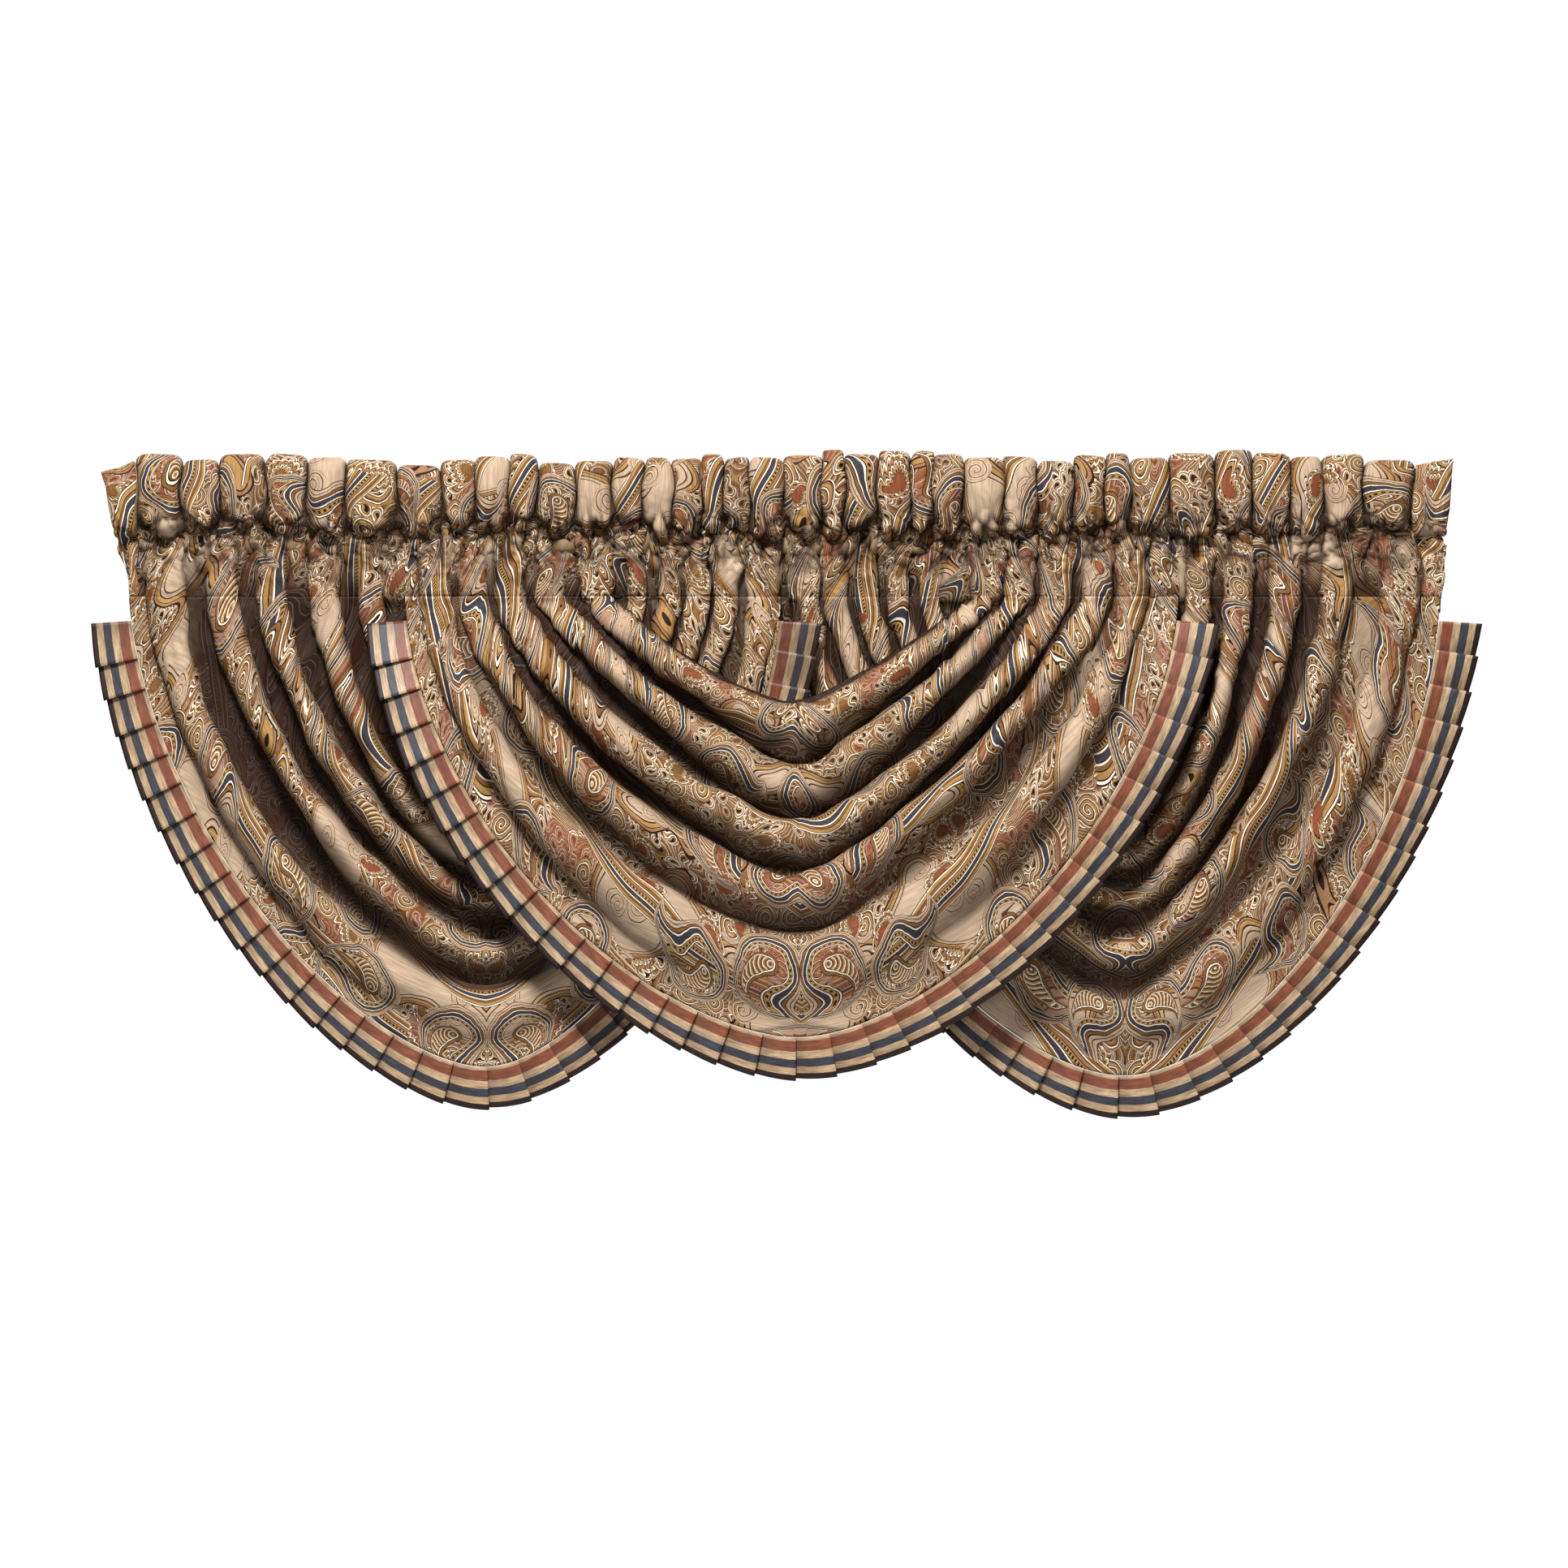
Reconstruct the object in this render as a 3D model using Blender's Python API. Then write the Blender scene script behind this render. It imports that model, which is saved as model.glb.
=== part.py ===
"""Waterfall valance: a gathered rod-pocket heading, three hanging swags and their pleated ribbon trims.

The tables below are in millimetres and the meshes in metres, +Z up. The front faces -Y, and the
origin is the middle of the top edge. A drop is a distance below that edge, and a forward distance
is towards the viewer, along -Y.
"""
import math
from collections import namedtuple

import bpy
import numpy as np

METRES = 0.001

# Thickness of cloth and ribbon, and the clearances where a swag is sewn to the apron and a ribbon
# to a hem, which leave room for the straight stretches between the points of a curved edge
CLOTH = 2.0
RIBBON = 1.2
SEAM_GAP = 1.0
HEM_GAP = 1.4

# Levels of the heading, as drops below the top edge
POCKET_FOOT_DROP = 66.0
PINCH_DROP = 79.0
APRON_MIDDLE_DROP = 105.0
SEAM_DROP = 131.0

# Half depths of the rod pocket, front to back: in the gathers between two puffs, and at the widest
# puff. A slim puff keeps a share of that, and each puff narrows to a share of its depth at its foot.
GATHER_DEPTH = 9.5
GATHER_FOOT_DEPTH = 8.5
PUFF_DEPTH = 20.0
SLIM_SHARE = 0.75
FOOT_SHARE = 0.75

# The puffs' rounded tops: drop from the top to the shoulder, and dip of the gathers between them
SHOULDER = 10.0
GATHER_DIP = 5.0

# Where a puff's two shoulders lie across its width
PUFF_SIDES = (0.2, 0.8)

# Ripples of the cloth where the stitching pinches it and half way down the apron
PINCH_RIPPLE = 1.0
APRON_RIPPLE = 2.5

Puff = namedtuple("Puff", "width drop")

# The puffs of the gathered rod pocket from left to right: width, and drop of the puff's top
PUFFS = [
    Puff(40, 4), Puff(34, 9), Puff(42, 4), Puff(37, 4), Puff(34, 7), Puff(46, 9),
    Puff(40, 14), Puff(31, 9), Puff(29, 6), Puff(27, 4), Puff(34, 12), Puff(33, 10),
    Puff(28, 7), Puff(26, 7), Puff(26, 8), Puff(20, 4), Puff(23, 7), Puff(31, 7),
    Puff(34, 5), Puff(21, 0), Puff(29, 4), Puff(30, 1), Puff(19, 1), Puff(28, 4),
    Puff(37, 7), Puff(29, 6), Puff(34, 10), Puff(27, 5), Puff(24, 3), Puff(34, 7),
    Puff(41, 3), Puff(34, 0), Puff(34, 3), Puff(29, 6), Puff(37, 4), Puff(44, 9),
]
FIRST_PUFF = -582.0
WIDEST_PUFF = 46.0

Flat = namedtuple("Flat", "x lean drop depth ripple")

# The flat ends of the heading beside the gathers: place, lean inwards from top to seam, drop of the
# top, half depth and ripple. The left end is the longer one and swells half way to the first puff.
LEFT_FLATS = [Flat(-620, 31, 20, 9.5, 0.0), Flat(-601, 15.5, 16, 14.8, -0.5)]
RIGHT_FLATS = [Flat(600, -10, 8, 9.5, 0.0)]

Fold = namedtuple("Fold", "left right middle depth round_left round_right half rise")
Hem = namedtuple("Hem", "left right middle depth round_left round_right")
Swag = namedtuple("Swag", "name crowded edges folds hem forward_left forward_right")

# Places along a hanging line, 1 at the seam and 0 at the middle, where the forward values are given
FORWARD_PLACES = (0.0, 0.5, 0.75, 0.85, 0.93, 0.98, 1.0)

# The swags. A fold's line starts and ends on the seam at left and right, and is lowest at middle,
# at the given depth. The round values shape each side, from 1, a straight slope, to 2, an ellipse.
# Half widths and rises of the rolled fold are given at the middle, half way up and at the seam.
# Edges are the widths of cloth that hang behind the first fold at the left and right of the seam,
# and crowded is the side, -1 or 1, that a neighbour hides.
SWAGS = [
    Swag(
        "left", 1, (30, 4),
        [
            Fold(-372, -133, -268, 331, 1.50, 1.50, (10, 11, 11), (7, 9, 5)),
            Fold(-414, -104, -268, 372, 1.50, 1.50, (9, 14, 13), (10, 22, 9)),
            Fold(-461, -78, -268, 404, 1.47, 1.47, (11, 15, 14), (12, 26, 10)),
            Fold(-505, -53, -268, 453, 1.45, 1.45, (16, 15, 14), (18, 27, 10)),
            Fold(-556, -20, -268, 505, 1.60, 1.60, (20, 20, 18), (12, 18, 9)),
        ],
        Hem(-589, -4, -268, 553, 1.60, 1.60),
        (4, 4, 4, 4, 4, 4, 4), (4, 5, 8, 10, 8, 4, 4),
    ),
    Swag(
        "centre", 0, (4, 4),
        [
            Fold(-169, 181, 13, 250, 1.22, 1.10, (20, 16, 14), (16, 20, 8)),
            Fold(-212, 210, 13, 304, 1.18, 1.12, (20, 18, 14), (15, 24, 9)),
            Fold(-247, 243, 13, 350, 1.35, 1.25, (18, 18, 14), (17, 26, 9)),
            Fold(-280, 280, 13, 401, 1.47, 1.22, (22, 20, 13), (15, 25, 9)),
            Fold(-314, 312, 13, 463, 1.60, 1.45, (30, 22, 14), (8, 22, 9)),
        ],
        Hem(-341, 353, 13, 525, 1.68, 1.62),
        (46, 44, 42, 34, 19, 8, 8), (46, 44, 42, 34, 19, 8, 8),
    ),
    Swag(
        "right", -1, (4, 30),
        [
            Fold(130, 371, 305, 331, 1.50, 1.50, (10, 11, 11), (7, 9, 5)),
            Fold(101, 407, 305, 369, 1.50, 1.50, (9, 14, 13), (10, 22, 9)),
            Fold(73, 449, 305, 405, 1.47, 1.47, (11, 15, 14), (12, 26, 10)),
            Fold(45, 495, 305, 453, 1.40, 1.40, (17, 16, 14), (20, 27, 10)),
            Fold(17, 552, 305, 511, 1.50, 1.50, (22, 22, 18), (10, 18, 9)),
        ],
        Hem(-1, 588, 305, 561, 1.68, 1.68),
        (4, 0, -5, -6, -6, -4, -4), (4, 4, 4, 4, 4, 4, 4),
    ),
]

# Angles of the rows round a rolled fold, 0 at its crest, and of the row where the cloth turns behind
# the first fold. Its free edge lies a share of the rise behind the valleys.
ROLL_ANGLES = (-100, -50, 0, 50, 110)
TURNED_ANGLE = -135
MIDDLE_EDGE = 10.0
EDGE_SINK = 0.75

# How far a roll's middle stands before the floor of its valleys, as a share of its rise
ROLL_LIFT = 0.2
VALLEY_SINK = 1.0
HEM_LIFT = 4.0

# Share of the way to the next fold's line that a roll may fill
ROLL_ROOM = 0.45

# A side swag's half that hides behind its neighbour is crowded: narrower and flatter folds
CROWDED_WIDTH = 0.75
CROWDED_RISE = 0.6
CROWDED_BLEND = 0.3

# Columns of a swag, as places from the middle to the seam, the same on both sides
COLUMN_PLACES = (0.0, 0.13, 0.26, 0.38, 0.5, 0.62, 0.73, 0.82, 0.89, 0.94, 0.98, 1.0)

# Steps of one half of a hanging line, the reach over which its lowest point is rounded, and the
# reach below the seam over which folds turn from hanging side by side to hanging one below another
LINE_STEPS = 160
SOFT_REACH = 28.0
NORMAL_REACH = 36.0
LEVEL_REACH = 45.0
SHORTEST_REACH = 1.0

# Pleated ribbon trim: pleats lap the same way all along, from the left end to the right end
PLEAT_PITCH = 30.0
PLEAT_LAP = 3.0
TRIM_WIDTH = 36.5
TRIM_FLARE = 2.5
TRIM_START = 22.0
RELIEF_AT_SEAM = 3.0
RELIEF_AT_EDGE = 5.5


def clear_scene():
    """Remove whatever the file held before."""
    for old in list(bpy.data.objects):
        bpy.data.objects.remove(old, do_unlink=True)


def cloth_material(name, color, roughness):
    """Plain woven cloth of one colour."""
    material = bpy.data.materials.new(name)
    material.use_nodes = True
    shader = material.node_tree.nodes["Principled BSDF"]
    shader.inputs["Base Color"].default_value = (*color, 1.0)
    shader.inputs["Roughness"].default_value = roughness
    shader.inputs["Metallic"].default_value = 0.0
    return material


def mesh_object(name, points, faces, material):
    """Make one object from points in millimetres."""
    mesh = bpy.data.meshes.new(name)
    mesh.from_pydata((np.asarray(points, dtype=float) * METRES).tolist(), [], faces)
    mesh.materials.append(material)
    mesh.shade_smooth()
    obj = bpy.data.objects.new(name, mesh)
    bpy.context.collection.objects.link(obj)
    return obj


def sheet_object(name, grid, thickness, material):
    """Skin a grid of points, rows from top to bottom by columns from left to right, as thick cloth."""
    rows, columns = grid.shape[:2]
    faces = []
    for row in range(rows - 1):
        for column in range(columns - 1):
            corner = row * columns + column
            faces.append((corner, corner + columns, corner + columns + 1, corner + 1))
    obj = mesh_object(name, grid.reshape(-1, 3), faces, material)
    solidify = obj.modifiers.new("cloth thickness", "SOLIDIFY")
    solidify.thickness = thickness * METRES
    solidify.offset = 0.0
    return obj


def arc_lengths(points):
    """Length along a line up to each of its points."""
    steps = np.linalg.norm(np.diff(points, axis=0), axis=1)
    return np.concatenate([[0.0], np.cumsum(steps)])


def points_at(points, lengths, wanted):
    """Points of a line at the wanted lengths along it."""
    return np.column_stack([np.interp(wanted, lengths, values) for values in points.T])


def soften(points, reach):
    """Average a line's points over the reach to both sides, and over less near its two fixed ends."""
    lengths = arc_lengths(points)
    middles = (points[1:] + points[:-1]) / 2
    sums = np.vstack([np.zeros(2), np.cumsum(middles * np.diff(lengths)[:, None], axis=0)])
    window = np.minimum(reach, np.minimum(lengths, lengths[-1] - lengths))
    inner = window > SHORTEST_REACH
    upper = points_at(sums, lengths, lengths[inner] + window[inner])
    lower = points_at(sums, lengths, lengths[inner] - window[inner])
    soft = points.copy()
    soft[inner] = (upper - lower) / (2 * window[inner])[:, None]
    return soft


def hanging_line(line):
    """Points (x, z) of a line that hangs from the seam: two quarter superellipses, softened below."""
    angle = np.linspace(0.0, math.pi / 2, LINE_STEPS)
    halves = []
    for end, power in ((line.left, line.round_left), (line.right, line.round_right)):
        across = line.middle + (end - line.middle) * np.cos(angle) ** (2 / power)
        fall = (line.depth - SEAM_DROP) * np.sin(angle) ** (2 / power)
        halves.append(np.column_stack([across, fall]))
    points = soften(np.vstack([halves[0], halves[1][-2::-1]]), SOFT_REACH)
    points[:, 1] *= (line.depth - SEAM_DROP) / points[:, 1].max()
    points[:, 1] = -SEAM_DROP - points[:, 1]
    return points


def smooth_step(value):
    """Ease from 0 to 1."""
    value = np.clip(value, 0.0, 1.0)
    return value * value * (3 - 2 * value)


def along_line(points, lengths):
    """Points of a line at the wanted lengths, and the outward direction there, both as (x, z)."""
    whole = arc_lengths(points)
    reach = np.minimum(NORMAL_REACH, np.minimum(lengths, whole[-1] - lengths)) + SHORTEST_REACH
    ahead = points_at(points, whole, lengths + reach)
    behind = points_at(points, whole, lengths - reach)
    chord = ahead - behind
    chord /= np.linalg.norm(chord, axis=1)[:, None]
    hung = smooth_step(np.minimum(lengths, whole[-1] - lengths) / LEVEL_REACH)
    level = np.where(lengths < whole[-1] / 2, -1.0, 1.0)
    outward = np.column_stack([level + (chord[:, 1] - level) * hung, -chord[:, 0] * hung])
    outward /= np.linalg.norm(outward, axis=1)[:, None]
    return points_at(points, whole, lengths), outward


def lengths_at_places(points, places):
    """Turn places from -1, the left end, to 1, the right end, into lengths along a line."""
    whole = arc_lengths(points)
    lowest = whole[LINE_STEPS - 1]
    right = whole[-1] - lowest
    return np.where(places < 0, lowest * (1 + places), lowest + right * places)


def blend_levels(levels, places):
    """Ease between the values given at the middle, half way up and at the seam."""
    middle, side, seam = levels
    away = np.abs(places)
    lower = middle + (side - middle) * smooth_step(away / 0.5)
    return lower + (seam - side) * smooth_step((away - 0.5) / 0.5)


def crowding(swag, places, amount):
    """Share of a fold's size that is left on the swag's crowded half."""
    if swag.crowded == 0:
        return np.ones_like(places)
    hidden = smooth_step(0.5 + places * swag.crowded / (2 * CROWDED_BLEND))
    return 1 + (amount - 1) * hidden


def forward_of(swag, places):
    """How far the floor of the swag's valleys stands forward, at places from -1 to 1."""
    left = np.interp(-places, FORWARD_PLACES, swag.forward_left)
    right = np.interp(places, FORWARD_PLACES, swag.forward_right)
    return np.where(places < 0, left, right)


def distances(points, line):
    """Distance from each point to a line."""
    apart = points[:, None, :] - line[None, :, :]
    return np.linalg.norm(apart, axis=2).min(axis=1)


def roll_row(swag, number, degrees, places):
    """One row of points along a rolled fold, at an angle round it."""
    fold = swag.folds[number]
    line = hanging_line(fold)
    centre, outward = along_line(line, lengths_at_places(line, places))
    half = blend_levels(fold.half, places) * crowding(swag, places, CROWDED_WIDTH)
    rise = blend_levels(fold.rise, places) * crowding(swag, places, CROWDED_RISE)
    neighbours = [None] + list(swag.folds) + [None]
    beside = neighbours[number] if degrees < 0 else neighbours[number + 2]
    if beside is not None:
        half = np.minimum(half, ROLL_ROOM * distances(centre, hanging_line(beside)))
    across = half * math.sin(math.radians(degrees))
    forward = forward_of(swag, places) + rise * (math.cos(math.radians(degrees)) + ROLL_LIFT)
    flat = centre + across[:, None] * outward
    return np.column_stack([flat[:, 0], -forward, flat[:, 1]])


def free_edge_row(swag, places):
    """The row along the free edge of the cloth, which hangs behind the first fold."""
    turned = roll_row(swag, 0, TURNED_ANGLE, places)
    line = hanging_line(swag.folds[0])
    _, outward = along_line(line, lengths_at_places(line, places))
    width = np.interp(places, (-1, 0, 1), (swag.edges[0], MIDDLE_EDGE, swag.edges[1]))
    rise = blend_levels(swag.folds[0].rise, places) * crowding(swag, places, CROWDED_RISE)
    turned[:, [0, 2]] -= width[:, None] * outward
    turned[:, 1] = EDGE_SINK * rise - forward_of(swag, places)
    return turned


def valley_row(upper, lower):
    """The row on the floor of the valley between two folds."""
    row = (upper + lower) / 2
    row[:, 1] = np.maximum(upper[:, 1], lower[:, 1]) + VALLEY_SINK
    return row


def hem_row(swag, places):
    """The row along the swag's hem."""
    line = hanging_line(swag.hem)
    flat, _ = along_line(line, lengths_at_places(line, places))
    return np.column_stack([flat[:, 0], -forward_of(swag, places) - HEM_LIFT, flat[:, 1]])


def swag_rows(swag, places):
    """All rows of a swag, from the free edge behind its first fold down to its hem."""
    rows = [free_edge_row(swag, places), roll_row(swag, 0, TURNED_ANGLE, places)]
    for number in range(len(swag.folds)):
        roll = [roll_row(swag, number, degrees, places) for degrees in ROLL_ANGLES]
        if number > 0:
            rows.append(valley_row(rows[-1], roll[0]))
        rows.extend(roll)
    hem = hem_row(swag, places)
    rows.append((rows[-1] + hem) / 2)
    rows.append(hem)
    return np.array(rows)


def make_swag(swag, material):
    """One swag of cloth with its rolled folds and flat hem band."""
    places = np.array([-place for place in COLUMN_PLACES[:0:-1]] + list(COLUMN_PLACES))
    return sheet_object("swag_" + swag.name, swag_rows(swag, places), CLOTH, material)


def trim_points(swag):
    """Two rows of the pleated ribbon: along the hem and along its free edge."""
    line = hanging_line(swag.hem)
    whole = arc_lengths(line)[-1]
    run = whole - 2 * TRIM_START
    pleats = round(run / PLEAT_PITCH)
    edges = TRIM_START + run * np.arange(pleats + 1) / pleats
    lengths = []
    raised = []
    for start, stop in zip(edges[:-1], edges[1:]):
        lengths.extend([start, stop + PLEAT_LAP])
        raised.extend([0.0, 1.0])
    lengths[-1] = edges[-1]
    lengths = np.array(lengths)
    raised = np.array(raised)
    lowest = lengths_at_places(line, np.array([0.0]))[0]
    places = np.where(lengths < lowest, lengths / lowest - 1, (lengths - lowest) / (whole - lowest))
    base, outward = along_line(line, lengths)
    forward = forward_of(swag, places) + HEM_LIFT
    rows = []
    for reach, relief in ((HEM_GAP, RELIEF_AT_SEAM), (TRIM_WIDTH, RELIEF_AT_EDGE)):
        flare = TRIM_FLARE * raised * (reach > HEM_GAP)
        flat = base + (reach + flare)[:, None] * outward
        rows.append(np.column_stack([flat[:, 0], -forward - relief * raised, flat[:, 1]]))
    return np.array(rows)


def make_trim(swag, material):
    """The knife-pleated ribbon sewn along a swag's hem."""
    return sheet_object("trim_" + swag.name, trim_points(swag), RIBBON, material)


def seam_forward(x):
    """How far forward the swags' rolled folds stand at one place along the seam."""
    standing = [0.0]
    for swag in SWAGS:
        for side, floor in (("left", swag.forward_left[-1]), ("right", swag.forward_right[-1])):
            crowded = swag.crowded == (-1 if side == "left" else 1)
            width = CROWDED_WIDTH if crowded else 1.0
            height = CROWDED_RISE if crowded else 1.0
            ends = sorted([getattr(swag.hem, side), getattr(swag.folds[0], side)])
            if ends[0] <= x <= ends[1]:
                standing.append(floor)
            for fold in swag.folds:
                offset = (x - getattr(fold, side)) / (fold.half[-1] * width)
                if abs(offset) < 1:
                    roundness = math.sqrt(1 - offset * offset)
                    standing.append(floor + fold.rise[-1] * height * (roundness + ROLL_LIFT))
    return max(standing)


Station = namedtuple("Station", "x lean depth foot top ripple")


def flat_station(flat):
    """A place on one of the flat ends."""
    foot = max(flat.depth * FOOT_SHARE, GATHER_FOOT_DEPTH)
    return Station(flat.x, flat.lean, flat.depth, foot, flat.drop, flat.ripple)


def gather_station(x, *puffs):
    """The gathers between two puffs, a little lower than both."""
    dip = max(puff.drop for puff in puffs) + GATHER_DIP
    return Station(x, 0.0, GATHER_DEPTH, GATHER_FOOT_DEPTH, dip, 1.0)


def heading_stations():
    """Places across the heading: its flat ends, the gathers and both shoulders of each puff."""
    stations = [flat_station(flat) for flat in LEFT_FLATS]
    x = FIRST_PUFF
    before = PUFFS[0]
    for puff in PUFFS:
        stations.append(gather_station(x, before, puff))
        depth = PUFF_DEPTH * (SLIM_SHARE + (1 - SLIM_SHARE) * puff.width / WIDEST_PUFF)
        for share in PUFF_SIDES:
            place = x + share * puff.width
            stations.append(Station(place, 0.0, depth, depth * FOOT_SHARE, puff.drop, -1.0))
        x += puff.width
        before = puff
    stations.append(gather_station(x, before))
    stations.extend(flat_station(flat) for flat in RIGHT_FLATS)
    return stations


def heading_section(station):
    """Section across the heading: 12 points round the outside, then 7 round the rod pocket."""
    half = CLOTH / 2
    seam = -seam_forward(station.x + station.lean)
    pinch = station.ripple * PINCH_RIPPLE
    apron = seam / 2 + station.ripple * APRON_RIPPLE
    shoulder = station.top + SHOULDER
    crown = station.depth / 2
    outside = [
        (seam - half, SEAM_DROP - SEAM_GAP), (apron - half, APRON_MIDDLE_DROP), (pinch - half, PINCH_DROP),
        (-station.foot, POCKET_FOOT_DROP), (-station.depth, shoulder), (-crown, station.top),
        (crown, station.top), (station.depth, shoulder), (station.foot, POCKET_FOOT_DROP),
        (pinch + half, PINCH_DROP), (apron + half, APRON_MIDDLE_DROP), (seam + half, SEAM_DROP - SEAM_GAP),
    ]
    pocket = [
        (pinch, PINCH_DROP - 2 * CLOTH), (CLOTH - station.foot, POCKET_FOOT_DROP),
        (CLOTH - station.depth, shoulder), (-crown, station.top + CLOTH),
        (crown, station.top + CLOTH), (station.depth - CLOTH, shoulder),
        (station.foot - CLOTH, POCKET_FOOT_DROP),
    ]
    return [(station.x + station.lean * drop / SEAM_DROP, y, -drop) for y, drop in outside + pocket]


# Faces that close the section at each end, as places in the section: 0 to 11 outside, 12 to 18 inside
END_FACES = [
    (0, 1, 10, 11), (1, 2, 9, 10), (2, 12, 9), (2, 3, 13, 12), (3, 4, 14, 13), (4, 5, 15, 14),
    (5, 6, 16, 15), (6, 7, 17, 16), (7, 8, 18, 17), (8, 9, 12, 18),
]
OUTSIDE_COUNT = 12
POCKET_COUNT = 7


def wall_faces(here, there, count):
    """Triangles of a closed wall between two neighbouring sections, cut alike on front and back."""
    faces = []
    for place in range(count):
        following = (place + 1) % count
        if place < (count + 1) // 2:
            faces.append((here + place, here + following, there + place))
            faces.append((here + following, there + following, there + place))
        else:
            faces.append((here + place, here + following, there + following))
            faces.append((here + place, there + following, there + place))
    return faces


def make_heading(material):
    """The gathered heading: rod pocket above, stitched pinch, and the apron down to the seam."""
    sections = [heading_section(station) for station in heading_stations()]
    size = OUTSIDE_COUNT + POCKET_COUNT
    faces = []
    for number in range(len(sections) - 1):
        here = number * size
        there = here + size
        outside = wall_faces(here, there, OUTSIDE_COUNT)
        faces.extend(tuple(reversed(face)) for face in outside)
        faces.extend(wall_faces(here + OUTSIDE_COUNT, there + OUTSIDE_COUNT, POCKET_COUNT))
    last = (len(sections) - 1) * size
    faces.extend(END_FACES)
    faces.extend(tuple(last + place for place in reversed(face)) for face in END_FACES)
    points = [point for section in sections for point in section]
    return mesh_object("heading", points, faces, material)


def main():
    clear_scene()
    jacquard = cloth_material("jacquard cloth", (0.36, 0.25, 0.13), 0.75)
    ribbon = cloth_material("striped ribbon", (0.40, 0.28, 0.18), 0.7)
    make_heading(jacquard)
    for swag in SWAGS:
        make_swag(swag, jacquard)
        make_trim(swag, ribbon)


main()
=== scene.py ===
"""Waterfall valance: the jacquard heading, its three hanging swags and their pleated ribbon trims.

The tables are in millimetres, as the solids' own are, and the meshes in metres, +Z up. The front
faces -Y, and the origin is the middle of the top edge. A drop is a distance below that edge, a
forward distance is along -Y, and a place runs from -1 at the left seam to 1 at the right seam.
"""
import math
from collections import namedtuple

import bpy
import numpy as np
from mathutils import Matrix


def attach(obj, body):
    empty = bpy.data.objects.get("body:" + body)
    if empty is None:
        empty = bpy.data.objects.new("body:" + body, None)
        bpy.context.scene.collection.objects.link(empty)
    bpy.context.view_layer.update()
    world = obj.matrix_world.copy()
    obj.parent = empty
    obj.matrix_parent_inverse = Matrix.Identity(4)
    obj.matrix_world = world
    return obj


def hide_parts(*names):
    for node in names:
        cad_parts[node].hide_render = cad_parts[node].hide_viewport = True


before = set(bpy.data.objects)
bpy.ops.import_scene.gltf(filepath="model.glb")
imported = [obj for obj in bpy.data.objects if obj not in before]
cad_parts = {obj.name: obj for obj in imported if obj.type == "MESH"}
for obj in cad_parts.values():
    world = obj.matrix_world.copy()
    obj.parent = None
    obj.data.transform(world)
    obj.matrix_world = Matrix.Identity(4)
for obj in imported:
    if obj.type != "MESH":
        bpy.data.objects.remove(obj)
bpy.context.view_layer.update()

METRES = 0.001
TURN = 2 * math.pi
TINY = 1e-5

# Thickness of cloth and ribbon, and the clearance where a ribbon is sewn to a hem
CLOTH = 1.4
RIBBON = 0.7
HEM_GAP = 0.4

# Levels of the heading, as drops below the top edge
POCKET_FOOT_DROP = 66.0
SEAM_DROP = 131.0

# Half depths of the rod pocket, front to back: at a gather, of the widest puff, and the shares of a
# slim puff and of its foot. Then the heights of its shoulder and of the dip at a gather
GATHER_DEPTH = 9.5
PUFF_DEPTH = 20.0
SLIM_SHARE = 0.75
FOOT_SHARE = 0.75
SHOULDER = 10.0
GATHER_DIP = 5.0

Puff = namedtuple("Puff", "width drop")

# The puffs of the gathered rod pocket from left to right: width, and drop of the puff's top
PUFFS = [Puff(*size) for size in (
    (40, 4), (34, 9), (42, 4), (37, 4), (34, 7), (46, 9),
    (40, 14), (31, 9), (29, 6), (27, 4), (34, 12), (33, 10),
    (28, 7), (26, 7), (26, 8), (20, 4), (23, 7), (31, 7),
    (34, 5), (21, 0), (29, 4), (30, 1), (19, 1), (28, 4),
    (37, 7), (29, 6), (34, 10), (27, 5), (24, 3), (34, 7),
    (41, 3), (34, 0), (34, 3), (29, 6), (37, 4), (44, 9),
)]
FIRST_PUFF = -582.0
WIDEST_PUFF = 46.0

Flat = namedtuple("Flat", "x lean drop depth")

# The flat ends of the heading beside the gathers: place, lean inwards from top to seam, drop of the
# top and half depth
LEFT_FLATS = [Flat(-620, 31, 20, 7.0), Flat(-601, 15.5, 16, 10.0)]
RIGHT_FLATS = [Flat(600, -10, 8, 7.0)]

Fold = namedtuple("Fold", "left right middle depth round_left round_right half rise")
Hem = namedtuple("Hem", "left right middle depth round_left round_right")
Swag = namedtuple("Swag", "name crowded overlapped shadowed lit edges folds hem forward_left forward_right")

# Places along a hanging line where the forward values are given
FORWARD_PLACES = (0.0, 0.5, 0.75, 0.85, 0.93, 0.98, 1.0)

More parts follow.
